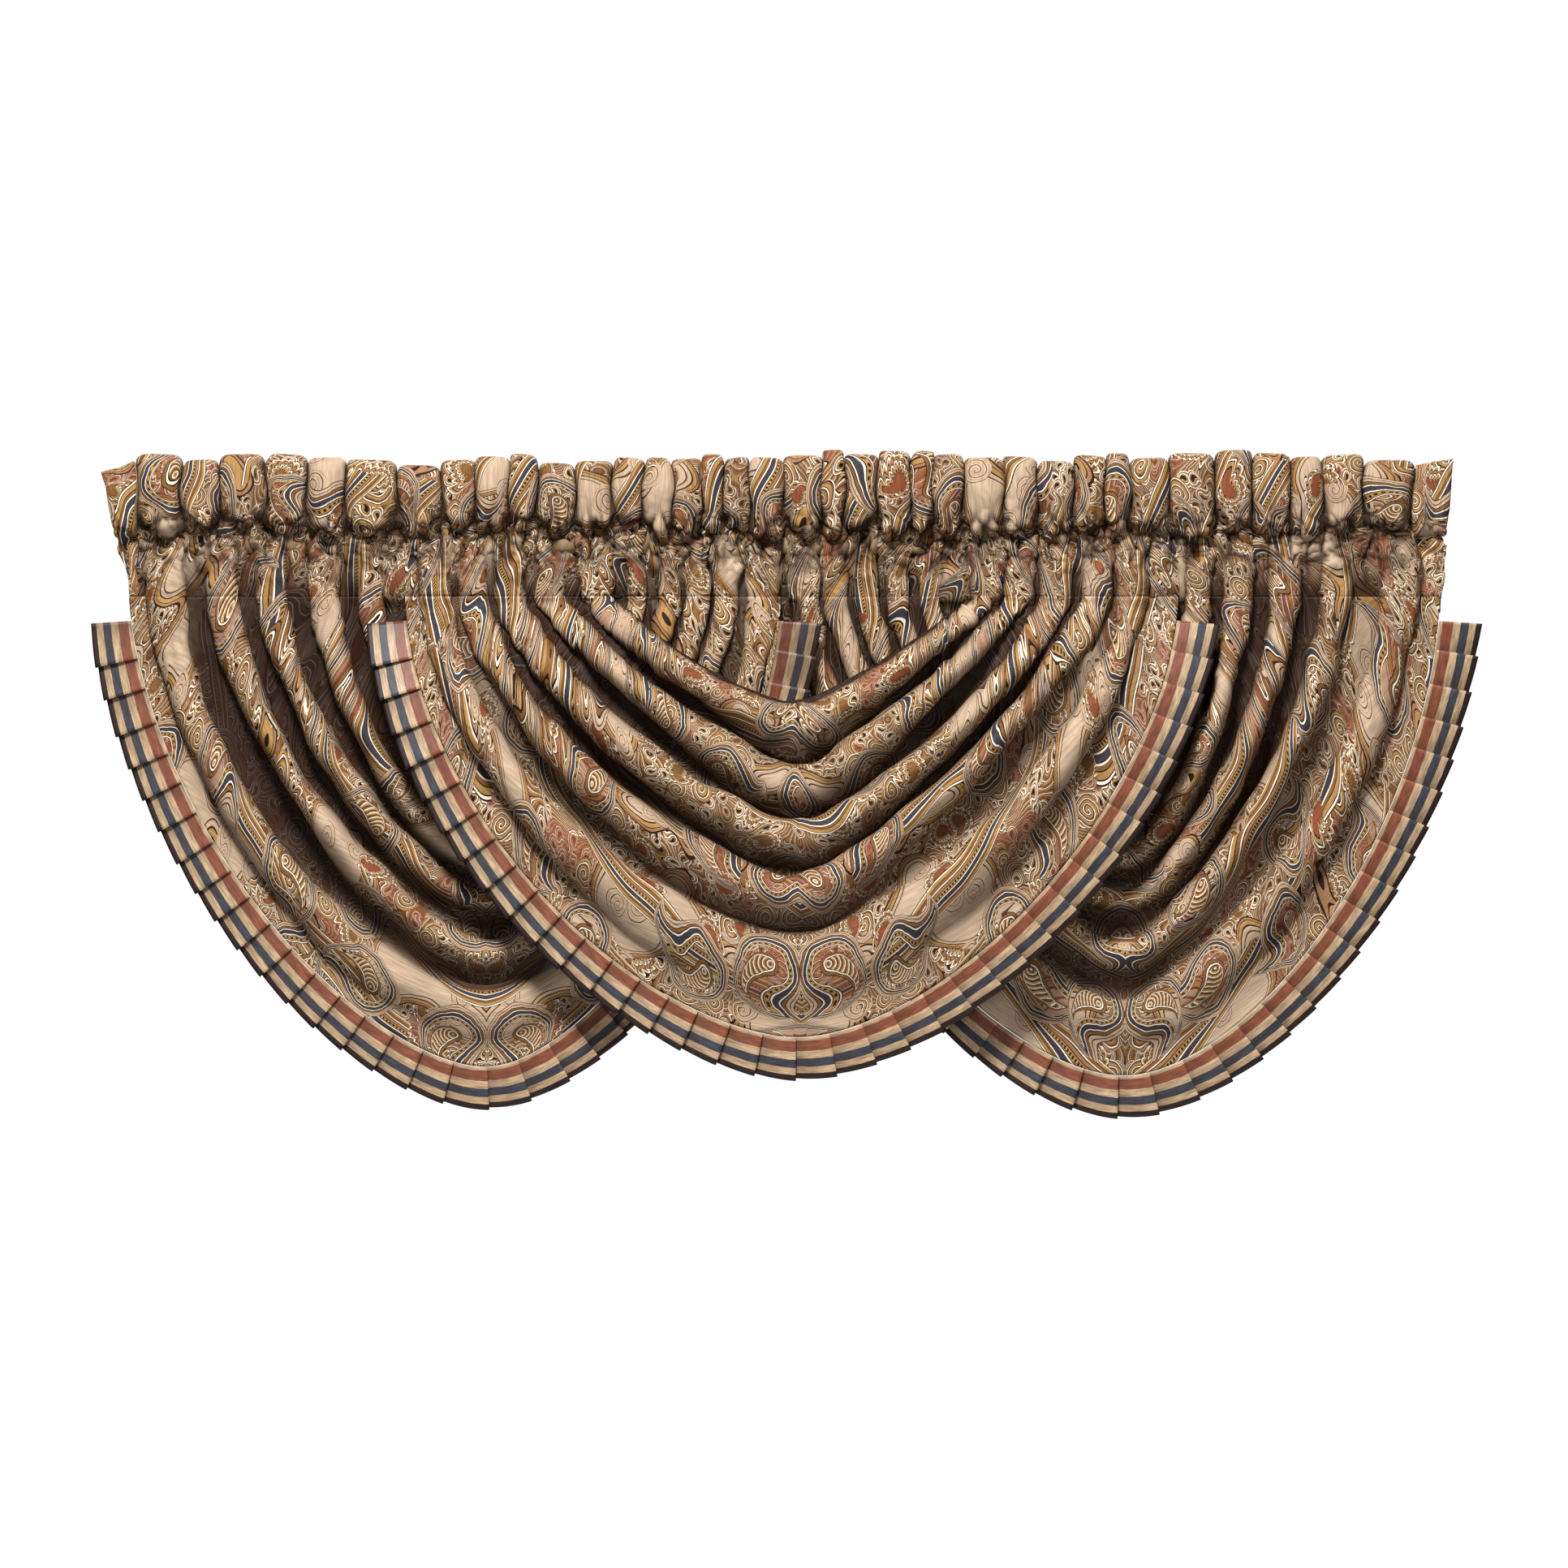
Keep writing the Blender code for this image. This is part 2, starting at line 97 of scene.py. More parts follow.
# The swags. A fold's line starts and ends on the seam at left and right, and is lowest at middle,
# at the given depth. The round values shape each side, from 1, a straight slope, to 2, an ellipse.
# Half widths and rises of the rolled fold are given at the middle, half way up and at the seam.
# Edges are the widths of cloth that hang behind the first fold at the left and right of the seam,
# crowded is the side, -1 or 1, that a neighbour hides, the value after it is how strong the painted
# shadow is on the left hem where the left swag laps over it, and shadowed is how strong the painted
# shadow is on the trim's right end, far in the opening. Lit is how much painted shade is taken off
# the widest valley, above the last fold, on the left and right side, as painted light.
SWAGS = [
    Swag(
        "left", 1, 0.0, 0.95, (0.0, 0.1), (30, 36),
        [
            Fold(-372, -133, -268, 331, 1.50, 1.50, (10, 11, 11), (7, 9, 5)),
            Fold(-414, -104, -268, 372, 1.50, 1.50, (9, 14, 13), (10, 22, 9)),
            Fold(-461, -78, -268, 404, 1.47, 1.47, (11, 15, 14), (12, 26, 10)),
            Fold(-505, -53, -268, 453, 1.45, 1.45, (16, 15, 14), (18, 27, 10)),
            Fold(-556, -20, -268, 505, 1.60, 1.60, (20, 20, 18), (12, 18, 9)),
        ],
        Hem(-589, -4, -268, 553, 1.60, 1.60),
        (4, 4, 4, 4, 4, 4, 4), (4, 5, 8, 10, 8, 4, 4),
    ),
    Swag(
        "centre", 0, 0.0, 0.0, (0.3, 0.4), (4, 4),
        [
            Fold(-169, 181, 13, 250, 1.22, 1.10, (20, 16, 14), (16, 20, 8)),
            Fold(-212, 210, 13, 304, 1.18, 1.12, (20, 18, 14), (15, 24, 9)),
            Fold(-247, 243, 13, 350, 1.35, 1.25, (18, 18, 14), (17, 26, 9)),
            Fold(-280, 280, 13, 401, 1.47, 1.22, (22, 20, 13), (15, 25, 9)),
            Fold(-314, 312, 13, 463, 1.60, 1.45, (30, 22, 14), (8, 22, 9)),
        ],
        Hem(-341, 353, 13, 525, 1.68, 1.62),
        (46, 44, 42, 34, 19, 8, 8), (46, 44, 42, 34, 19, 8, 8),
    ),
    Swag(
        "right", -1, 0.9, 0.0, (0.0, 0.6), (36, 30),
        [
            Fold(130, 371, 305, 331, 1.50, 1.50, (10, 11, 11), (7, 9, 5)),
            Fold(101, 407, 305, 369, 1.50, 1.50, (9, 14, 13), (10, 22, 9)),
            Fold(73, 449, 305, 405, 1.47, 1.47, (11, 15, 14), (12, 26, 10)),
            Fold(45, 495, 305, 453, 1.40, 1.40, (17, 16, 14), (20, 27, 10)),
            Fold(17, 552, 305, 511, 1.50, 1.50, (22, 22, 18), (10, 18, 9)),
        ],
        Hem(-8, 588, 305, 561, 1.68, 1.68),
        (4, 0, -5, -6, -6, -4, -4), (4, 4, 4, 4, 4, 4, 4),
    ),
]

# Angles of the rows round a rolled fold, 0 at its crest, and of the row where the cloth turns
# behind the first fold, how far a roll stands off the floor, and its share of the room beside it
ROLL_ANGLES = (-100, -75, -50, -25, 0, 25, 50, 80, 110)
TURNED_ANGLE = -135
ROLL_LIFT = 0.2
ROLL_ROOM = 0.45

# The free edge behind the first fold: its width in the middle, its share of the fold's depth, and
# how much further back it falls where it is wide. A valley's floor sinks and the hem lifts a little
MIDDLE_EDGE = 10.0
EDGE_SINK = 0.75
EDGE_FALL = 4.0
WIDE_EDGE = 30.0
VALLEY_SINK = 1.0
HEM_LIFT = 4.0

# Painted shade on a roll: it grows from the first angle over the second; a skewed roll has its own
# slope of painted shade, and less of it on its upper side
TUBE_SHADE = (28, 80)
SLOPE_SHADE = (-6, 92)
SLOPE_DARK = 0.92
UPPER_DARK = 0.7

# Below the last fold the painted shade is weak. The last rows take painted shadow where another swag
# laps over them, and painted shade can be taken off the rows of the last valley, as painted light
LOWEST_SHADE = 0.4
LOWEST_SHADE_FROM = 20
SHADED_ROWS = 4
LAP_SHADOW_FROM = 0.78
LAP_SHADOW_BLEND = 0.1
LAST_VALLEY = slice(-14, -5)
LIT_BLEND = 0.3

# Low on a swag the folds are skewed: the crest stands at the upper rim of a long slope. Further up
# they are slimmer tubes with wide valleys between
SKEW_START = 0.12
SKEW_BLEND = 0.5
SKEW_SHIFT = 0.03
SLOPE_FOOT = 110.0
SLOPE_WIDTH = 1.3
SLOPE_POWER = 1.25
SLIM_TUBE = 0.76

# A side swag's half that hides behind its neighbour is crowded: narrower and flatter folds
CROWDED_WIDTH = 0.75
CROWDED_RISE = 0.6
CROWDED_BLEND = 0.3

# Steps and reaches that shape a hanging line and the directions across it
LINE_STEPS = 160
SOFT_REACH = 28.0
NORMAL_REACH = 36.0
LEVEL_REACH = 45.0
SHORTEST_REACH = 1.0

# Fineness of a swag's mesh, and how uneven its rolls are along their length
SWAG_COLUMNS = 311
SWAG_ROWS = 126
UNEVEN_SHARE = 0.13
UNEVEN_LENGTH = 105.0
ROLL_SEED = 40

# Small waves of the cloth: height and length on the open cloth, and puckers below the gathers
WAVE_HEIGHT = 1.1
WAVE_LENGTH = 52.0
PUCKER_HEIGHT = 1.5
PUCKER_LENGTH = 15.0
PUCKER_START = 0.6

# Creases fade at both ends over this share of their length
CREASE_ENDS = 0.3

# The hem of the flat cloth rises towards both ends of the swag, by this much per squared millimetre
HEM_CURVE = 0.0005


def ease(value):
    """A smooth step from 0 to 1."""
    value = np.clip(value, 0.0, 1.0)
    return value * value * (3 - 2 * value)


def running(steps):
    """The sum of the steps up to each point, from 0."""
    return np.concatenate([[0.0], np.cumsum(steps)])


# How many sines make up an uneven wave, and how their lengths spread
SINES = 7
SINE_SPREAD = (0.7, 1.6)


def waves(across, along, length, seed):
    """Smooth uneven waves between about -1 and 1 over two coordinates, of roughly one length."""
    draw = np.random.default_rng(seed)
    total = np.zeros(np.broadcast(across, along).shape)
    for _ in range(SINES):
        turn = draw.uniform(0, TURN)
        reach = length * draw.uniform(*SINE_SPREAD)
        phase = draw.uniform(0, TURN)
        total += np.sin(TURN * (across * math.cos(turn) + along * math.sin(turn)) / reach + phase)
    return total / math.sqrt(SINES)


def arc_lengths(points):
    """Length along a line up to each of its points."""
    return running(np.linalg.norm(np.diff(points, axis=0), axis=1))


def points_at(points, lengths, wanted):
    """Points of a line at the wanted lengths along it."""
    return np.column_stack([np.interp(wanted, lengths, values) for values in points.T])


def soften(points, reach):
    """Average a line's points over the reach to both sides, and over less near its two fixed ends."""
    lengths = arc_lengths(points)
    middles = (points[1:] + points[:-1]) / 2
    sums = np.vstack([np.zeros(2), np.cumsum(middles * np.diff(lengths)[:, None], axis=0)])
    window = np.minimum(reach, np.minimum(lengths, lengths[-1] - lengths))
    inner = window > SHORTEST_REACH
    upper = points_at(sums, lengths, lengths[inner] + window[inner])
    lower = points_at(sums, lengths, lengths[inner] - window[inner])
    soft = points.copy()
    soft[inner] = (upper - lower) / (2 * window[inner])[:, None]
    return soft


def hanging_line(line):
    """Points (x, z) of a line that hangs from the seam: two quarter superellipses, softened below."""
    angle = np.linspace(0.0, math.pi / 2, LINE_STEPS)
    halves = []
    for end, power in ((line.left, line.round_left), (line.right, line.round_right)):
        across = line.middle + (end - line.middle) * np.cos(angle) ** (2 / power)
        fall = (line.depth - SEAM_DROP) * np.sin(angle) ** (2 / power)
        halves.append(np.column_stack([across, fall]))
    points = soften(np.vstack([halves[0], halves[1][-2::-1]]), SOFT_REACH)
    points[:, 1] *= (line.depth - SEAM_DROP) / points[:, 1].max()
    points[:, 1] = -SEAM_DROP - points[:, 1]
    return points


def along_line(points, lengths):
    """Points of a line at the wanted lengths, and the outward direction there, both as (x, z)."""
    whole = arc_lengths(points)
    reach = np.minimum(NORMAL_REACH, np.minimum(lengths, whole[-1] - lengths)) + SHORTEST_REACH
    ahead = points_at(points, whole, lengths + reach)
    behind = points_at(points, whole, lengths - reach)
    chord = ahead - behind
    chord /= np.linalg.norm(chord, axis=1)[:, None]
    hung = ease(np.minimum(lengths, whole[-1] - lengths) / LEVEL_REACH)
    level = np.where(lengths < whole[-1] / 2, -1.0, 1.0)
    outward = np.column_stack([level + (chord[:, 1] - level) * hung, -chord[:, 0] * hung])
    outward /= np.linalg.norm(outward, axis=1)[:, None]
    return points_at(points, whole, lengths), outward


def lengths_at_places(points, places):
    """Turn places from -1, the left end, to 1, the right end, into lengths along a line."""
    whole = arc_lengths(points)
    lowest = whole[LINE_STEPS - 1]
    right = whole[-1] - lowest
    return np.where(places < 0, lowest * (1 + places), lowest + right * places)


def blend_levels(levels, places):
    """Ease between the values given at the middle, half way up and at the seam."""
    middle, side, seam = levels
    away = np.abs(places)
    lower = middle + (side - middle) * ease(away / 0.5)
    return lower + (seam - side) * ease((away - 0.5) / 0.5)


def crowding(swag, places, amount):
    """Share of a fold's size that is left on the swag's crowded half."""
    if swag.crowded == 0:
        return np.ones_like(places)
    hidden = ease(0.5 + places * swag.crowded / (2 * CROWDED_BLEND))
    return 1 + (amount - 1) * hidden


def forward_of(swag, places):
    """How far the floor of the swag's valleys stands forward, at places from -1 to 1."""
    left = np.interp(-places, FORWARD_PLACES, swag.forward_left)
    right = np.interp(places, FORWARD_PLACES, swag.forward_right)
    return np.where(places < 0, left, right)


def distances(points, line):
    """Distance from each point to a line."""
    apart = points[:, None, :] - line[None, :, :]
    return np.linalg.norm(apart, axis=2).min(axis=1)


Roll = namedtuple("Roll", "centre outward half rise forward skew")


def make_roll(swag, number, places):
    """The rolled fold's centre line with its half width, rise and floor at each place."""
    fold = swag.folds[number]
    line = hanging_line(fold)
    lengths = lengths_at_places(line, places)
    centre, outward = along_line(line, lengths)
    half = blend_levels(fold.half, places) * crowding(swag, places, CROWDED_WIDTH)
    rise = blend_levels(fold.rise, places) * crowding(swag, places, CROWDED_RISE)
    seed = ROLL_SEED + number + 10 * len(swag.name)
    uneven = waves(lengths, 0.0, UNEVEN_LENGTH, seed) * ease((1 - np.abs(places)) / 0.1)
    half = half * (1 + UNEVEN_SHARE * uneven)
    for beside in swag.folds[max(number - 1, 0):number] + swag.folds[number + 1:number + 2]:
        half = np.minimum(half, ROLL_ROOM * distances(centre, hanging_line(beside)))
    skew = 1 - ease((np.abs(places) - SKEW_START) / SKEW_BLEND)
    slim = SLIM_TUBE + (1 - SLIM_TUBE) * np.maximum(skew, ease((np.abs(places) - 0.7) / 0.3))
    return Roll(centre, outward, half * slim, rise, forward_of(swag, places), skew)


def roll_row(roll, degrees):
    """One row of points along a rolled fold, at an angle round it; skewed, its lower face slopes."""
    across = math.sin(math.radians(degrees))
    height = math.cos(math.radians(degrees))
    if degrees > 0:
        across += roll.skew * (SLOPE_WIDTH * degrees / SLOPE_FOOT - across)
        height += roll.skew * (1 - (degrees / SLOPE_FOOT) ** SLOPE_POWER - height)
    across = roll.half * (across - SKEW_SHIFT * roll.skew)
    forward = roll.forward + roll.rise * (height + ROLL_LIFT)
    flat = roll.centre + across[:, None] * roll.outward
    return np.column_stack([flat[:, 0], -forward, flat[:, 1]])


def free_edge_row(swag, roll, places):
    """The row along the free edge of the cloth, which hangs behind the first fold."""
    turned = roll_row(roll, TURNED_ANGLE)
    width = np.interp(places, (-1, 0, 1), (swag.edges[0], MIDDLE_EDGE, swag.edges[1]))
    turned[:, [0, 2]] -= width[:, None] * roll.outward
    turned[:, 1] = EDGE_SINK * roll.rise - roll.forward + EDGE_FALL * ease(width / WIDE_EDGE - 0.5)
    return turned


def valley_row(upper, lower):
    """The row on the floor of the valley between two folds."""
    row = (upper + lower) / 2
    row[:, 1] = np.maximum(upper[:, 1], lower[:, 1]) + VALLEY_SINK
    return row


def hem_row(swag, places):
    """The row along the swag's hem."""
    line = hanging_line(swag.hem)
    flat, _ = along_line(line, lengths_at_places(line, places))
    return np.column_stack([flat[:, 0], -forward_of(swag, places) - HEM_LIFT, flat[:, 1]])


def dimming(degrees, span):
    """How much painted shade a roll has at an angle, easing from the span's first angle over its second."""
    return ease((degrees - span[0]) / span[1])


def roll_shade(degrees, skew, lowest):
    """Painted valley shade at an angle round a roll: 0 on the crest, 1 below."""
    if lowest and degrees > 0:
        return LOWEST_SHADE * dimming(degrees, (LOWEST_SHADE_FROM, TUBE_SHADE[1])) * np.ones_like(skew)
    tube = dimming(abs(degrees), TUBE_SHADE)
    slope = SLOPE_DARK * dimming(degrees, SLOPE_SHADE) if degrees > 0 else UPPER_DARK * tube
    return tube + skew * (slope - tube)


def swag_control(swag, places):
    """Control rows of a swag from its free edge down to its hem, and the painted valley shade of each."""
    rolls = [make_roll(swag, number, places) for number in range(len(swag.folds))]
    # Painted shadow where the left swag laps over this one
    hidden = swag.overlapped * ease((-places - LAP_SHADOW_FROM) / LAP_SHADOW_BLEND)
    rows = [free_edge_row(swag, rolls[0], places), roll_row(rolls[0], TURNED_ANGLE)]
    # Painted shade: full on the free edge and in each valley, and by angle round each roll
    level = np.ones_like(places)
    shades = [level, level]
    for number, roll in enumerate(rolls):
        turns = [roll_row(roll, degrees) for degrees in ROLL_ANGLES]
        if number > 0:
            rows.append(valley_row(rows[-1], turns[0]))
            shades.append(level)
        rows.extend(turns)
        lowest = number == len(rolls) - 1
        shades.extend(roll_shade(degrees, roll.skew, lowest) for degrees in ROLL_ANGLES)
    # Painted light: the last valley keeps less painted shade on the side given by lit
    lit = np.where(places < 0, *swag.lit) * ease(np.abs(places) / LIT_BLEND)
    shades[LAST_VALLEY] = [shade * (1 - lit) for shade in shades[LAST_VALLEY]]
    # The lap's painted shadow on the last rows of the folds, and on the hem rows below
    shades[-SHADED_ROWS:] = [np.maximum(shade, hidden) for shade in shades[-SHADED_ROWS:]]
    hem = hem_row(swag, places)
    rows += [(rows[-1] + hem) / 2, hem]
    shades += [np.maximum(LOWEST_SHADE / 2, hidden), hidden]
    return np.array(rows), np.array(shades)


def refine_rows(control, count, fineness=1.0):
    """Fine rows on a smooth surface through the control rows, and their places among them."""
    steps = np.linalg.norm(np.diff(control, axis=0), axis=2).mean(axis=1) * fineness
    reach = running(steps)
    wanted = np.linspace(0.0, reach[-1], count)
    number = np.clip(np.searchsorted(reach, wanted, side="right") - 1, 0, len(steps) - 1)
    share = (wanted - reach[number]) / steps[number]
    padded = np.concatenate([2 * control[:1] - control[1:2], control, 2 * control[-1:] - control[-2:-1]])
    before, start, stop, after = (padded[number + ahead] for ahead in range(4))
    t = share[:, None, None]
    slope = (stop - before) * t
    bend = (2 * before - 5 * start + 4 * stop - after) * t ** 2
    twist = (3 * start - before - 3 * stop + after) * t ** 3
    return start + (slope + bend + twist) / 2, number + share


def between_rows(values, rows):
    """Values of the control rows, read at fine places among them."""
    number = np.minimum(rows.astype(int), len(values) - 2)
    share = (rows - number)[:, None]
    return values[number] * (1 - share) + values[number + 1] * share


def grid_normals(grid):
    """Direction out of a grid's front at each point."""
    down = np.gradient(grid, axis=0)
    across = np.gradient(grid, axis=1)
    normal = np.cross(down, across)
    return normal / np.linalg.norm(normal, axis=2)[:, :, None]


def press_creases(flat_u, flat_v, creases):
    """Height of the listed creases, soft troughs and ridges, on the flat cloth."""
    total = np.zeros_like(flat_u)
    for u, v, to_u, to_v, height, width in creases:
        along_u = to_u - u
        along_v = to_v - v
        length = math.hypot(along_u, along_v)
        share = ((flat_u - u) * along_u + (flat_v - v) * along_v) / length ** 2
        aside = ((flat_u - u) * along_v - (flat_v - v) * along_u) / length
        ends = ease(share / CREASE_ENDS) * ease((1 - share) / CREASE_ENDS)
        total += height * ends * np.exp(-(aside / width) ** 2)
    return total


# The main creases of each swag on its flat cloth, with u from its middle and v up from its hem: both
# ends, height and width
CREASES = {
    "left": [
        (-20, 120, 70, 175, -2.5, 7), (-70, 175, 10, 140, -2.0, 7),
        (30, 205, 95, 250, -2.0, 6), (-95, 30, -40, 62, -1.5, 9),
        (60, 20, 140, 58, -1.6, 10), (-330, 150, -270, 172, -1.6, 7),
        (-420, 60, -350, 84, 1.6, 10), (-250, 246, -205, 262, -1.5, 6),
        (-380, 300, -320, 318, -1.6, 6), (-500, 20, -440, 52, -1.8, 9),
    ],
    "centre": [
        (0, 392, 42, 436, -2.4, 7), (0, 392, -42, 436, -2.4, 7),
        (2, 318, 36, 352, -2.6, 7), (-2, 318, -36, 352, -2.6, 7),
        (0, 236, 34, 276, -2.6, 8), (0, 236, -34, 276, -2.6, 8),
        (0, 150, 40, 196, -2.2, 9), (0, 150, -40, 196, -2.2, 9),
        (-130, 250, -60, 268, -1.8, 7), (120, 330, 190, 346, -1.8, 7),
        (-260, 180, -190, 204, -1.8, 8), (220, 160, 300, 182, -1.8, 8),
        (-420, 40, -350, 70, -1.7, 9), (380, 28, 460, 60, -1.8, 9),
        (-200, 20, -120, 48, 1.4, 12), (150, 24, 240, 40, -1.4, 12),
    ],
    "right": [
        (20, 120, -70, 175, -2.5, 7), (70, 175, -10, 140, -2.0, 7),
        (-30, 205, -95, 250, -2.0, 6), (95, 30, 40, 62, -1.5, 9),
        (-60, 20, -130, 52, -1.7, 10), (320, 140, 260, 166, -1.6, 7),
        (420, 70, 350, 90, 1.6, 10), (240, 250, 200, 270, -1.5, 6),
        (390, 292, 330, 312, -1.6, 6), (470, 24, 400, 58, -1.8, 9),
    ],
}


# A sheet's shade is painted shade, which the material mixes into the cloth's colour
Sheet = namedtuple("Sheet", "grid flat_u flat_v shade")


def swag_sheet(swag):
    """The fine surface of a swag, with its flat coordinates and painted valley shade."""
    places = np.linspace(-1.0, 1.0, SWAG_COLUMNS)
    control, shades = swag_control(swag, places)
    grid, rows = refine_rows(control, SWAG_ROWS)
    along = np.linalg.norm(np.diff(grid, axis=1), axis=2)
    flat_u = np.concatenate([np.zeros((SWAG_ROWS, 1)), np.cumsum(along, axis=1)], axis=1)
    flat_u -= flat_u[:, SWAG_COLUMNS // 2, None]
    across = np.linalg.norm(np.diff(grid, axis=0), axis=2)
    down = np.concatenate([np.zeros((1, SWAG_COLUMNS)), np.cumsum(across, axis=0)])
    from_hem = down[-1] - down
    flat_v = from_hem + HEM_CURVE * flat_u ** 2
    seed = len(swag.name)
    height = WAVE_HEIGHT * waves(flat_u, from_hem, WAVE_LENGTH, seed)
    gathered = ease((np.abs(places) - PUCKER_START) / (1 - PUCKER_START))
    height += PUCKER_HEIGHT * gathered * waves(flat_u * 0.3, from_hem, PUCKER_LENGTH, seed + 1)
    height += press_creases(flat_u, from_hem, CREASES[swag.name])
    height *= ease((1 - np.abs(places)) / 0.03)
    height *= ease(from_hem / 8)
    grid = grid + height[:, :, None] * grid_normals(grid)
    return Sheet(grid, flat_u, flat_v, between_rows(shades, rows))


# Fineness of the heading's mesh: columns for each puff and each flat end, and rows
PUFF_COLUMNS = 17
FLAT_COLUMNS = 16
HEADING_ROWS = 76

# Control rows from the apron up to the pocket's belly, and to its back, where rows are wider apart
BELLY_ROW = 6
BACK_ROWS = 11
BACK_FINENESS = 0.4
FRONT_FINENESS = (0.6, 1.4)

# Cloth hidden in each gather of the pocket, in the flat cloth
GATHER_CLOTH = 16.0

# The pinched gathers: how many to a puff, their height, and how uneven their places and heights are
PINCHES = 2
PINCH_HEIGHT = 5.2
PINCH_SHIFT = 0.16
PINCH_SHARES = (0.5, 1.4)

# How steeply a puff's, a pinch's and a fold's sides turn in, in degrees from its crest
PUFF_TURN = 96.0
FOLD_TURN = 98.0
GAP_SINK = 2.2

# A gap between folds that is wider than this takes a low pucker of its own, with painted shade at its foot
WIDE_GAP = 27.0
GAP_RISE = 3.5
PUCKER_FOOT_DROPS = (114.0, 133.0)

# The puffs narrow towards the stitching, from this drop down
FOOT_TAPER = 0.42
TAPER_FROM = 40.0

# A puff's own form: how round it is, how square its outline, and how much it spreads. It leans, its
# gather is a share of the usual one, and its foot sags, all unevenly, and less at its corners
PUFF_ROUND = 2.3
PUFF_SQUARE = 0.35
PUFF_SPREAD = 0.985
LEANS = (-1.6, 1.6)
GATHER_SHARES = (0.05, 0.25)
SAGS = (-6.0, 7.0)
CORNER_SAG = 6.0
CORNER_DIP = 1.9

# Painted shade darkens the puffs' sides towards the gathers, from this share of their half width
SIDE_FROM = 0.68
SIDE_BLEND = 0.3
SIDE_DARK = 0.88

Rolls = namedtuple("Rolls", "centre half rise floor")


def rolled(x, rolls, turn):
    """Bend a flat row of places into rolls: new places across, forward distances and painted shade."""
    across = x.copy()
    floor = np.interp(x, rolls.centre, rolls.floor)
    forward = floor - GAP_SINK
    shade = np.ones_like(x)
    for centre, half, rise in zip(rolls.centre, rolls.half, rolls.rise):
        offset = (x - centre) / half
        inside = np.abs(offset) < 1
        degrees = offset[inside] * turn
        angle = np.radians(degrees)
        across[inside] = centre + half * np.sin(angle)
        forward[inside] = floor[inside] + rise * (np.cos(angle) + ROLL_LIFT)
        shade[inside] = dimming(np.abs(degrees), TUBE_SHADE)
    return across, forward, shade


def seam_rolls():
    """The swags' rolled folds where they hang from the seam, from left to right."""
    rows = []
    for swag in SWAGS:
        for side, floor in (("left", swag.forward_left[-1]), ("right", swag.forward_right[-1])):
            crowded = swag.crowded == (-1 if side == "left" else 1)
            width, height = (CROWDED_WIDTH, CROWDED_RISE) if crowded else (1.0, 1.0)
            for fold in swag.folds:
                rows.append((getattr(fold, side), fold.half[-1] * width, fold.rise[-1] * height, floor))
    rows.sort()
    for before, after in zip(rows[:-1], rows[1:]):
        start, stop = before[0] + before[1], after[0] - after[1]
        if stop - start > WIDE_GAP:
            rows.append(((start + stop) / 2, (stop - start) / 2, GAP_RISE, min(before[3], after[3])))
    return Rolls(*np.array(sorted(rows)).T)


def pucker_cover(columns):
    """1 on the columns of a pucker that fills a wide gap, 0 on the others."""
    rolls = seam_rolls()
    near = np.abs(columns[:, None] - rolls.centre) < rolls.half
    return (near & (rolls.rise == GAP_RISE)).any(axis=1).astype(float)


def puff_edges():
    """Places across the heading where one puff meets the next."""
    return FIRST_PUFF + running([puff.width for puff in PUFFS])


def pinch_rolls(edges):
    """The small gathers along the stitching, uneven in width, height and place."""
    draw = np.random.default_rng(11)
    inner = []
    for left, right in zip(edges[:-1], edges[1:]):
        shares = (np.arange(PINCHES) + draw.uniform(-PINCH_SHIFT, PINCH_SHIFT, PINCHES)) / PINCHES
        inner.extend(left + (right - left) * np.maximum(shares, 0.0))
    bounds = np.array(inner + [edges[-1]])
    centre = (bounds[1:] + bounds[:-1]) / 2
    half = np.diff(bounds) / 2
    rise = PINCH_HEIGHT * draw.uniform(*PINCH_SHARES, len(centre))
    return Rolls(centre, half, rise, np.full(len(centre), -PINCH_HEIGHT / 2))


def heading_columns(edges):
    """Places of the heading's columns, closer together where puffs meet."""
    columns = list(np.linspace(LEFT_FLATS[0].x, edges[0], FLAT_COLUMNS, endpoint=False))
    share = (1 - np.cos(np.linspace(0.0, math.pi, PUFF_COLUMNS + 1))) / 2
    share = (share + np.linspace(0.0, 1.0, PUFF_COLUMNS + 1)) / 2
    for left, right in zip(edges[:-1], edges[1:]):
        columns.extend(left + (right - left) * share[:-1])
    columns.extend(np.linspace(edges[-1], RIGHT_FLATS[0].x, FLAT_COLUMNS))
    return np.array(columns)


Pocket = namedtuple("Pocket", "x depth foot top sag")


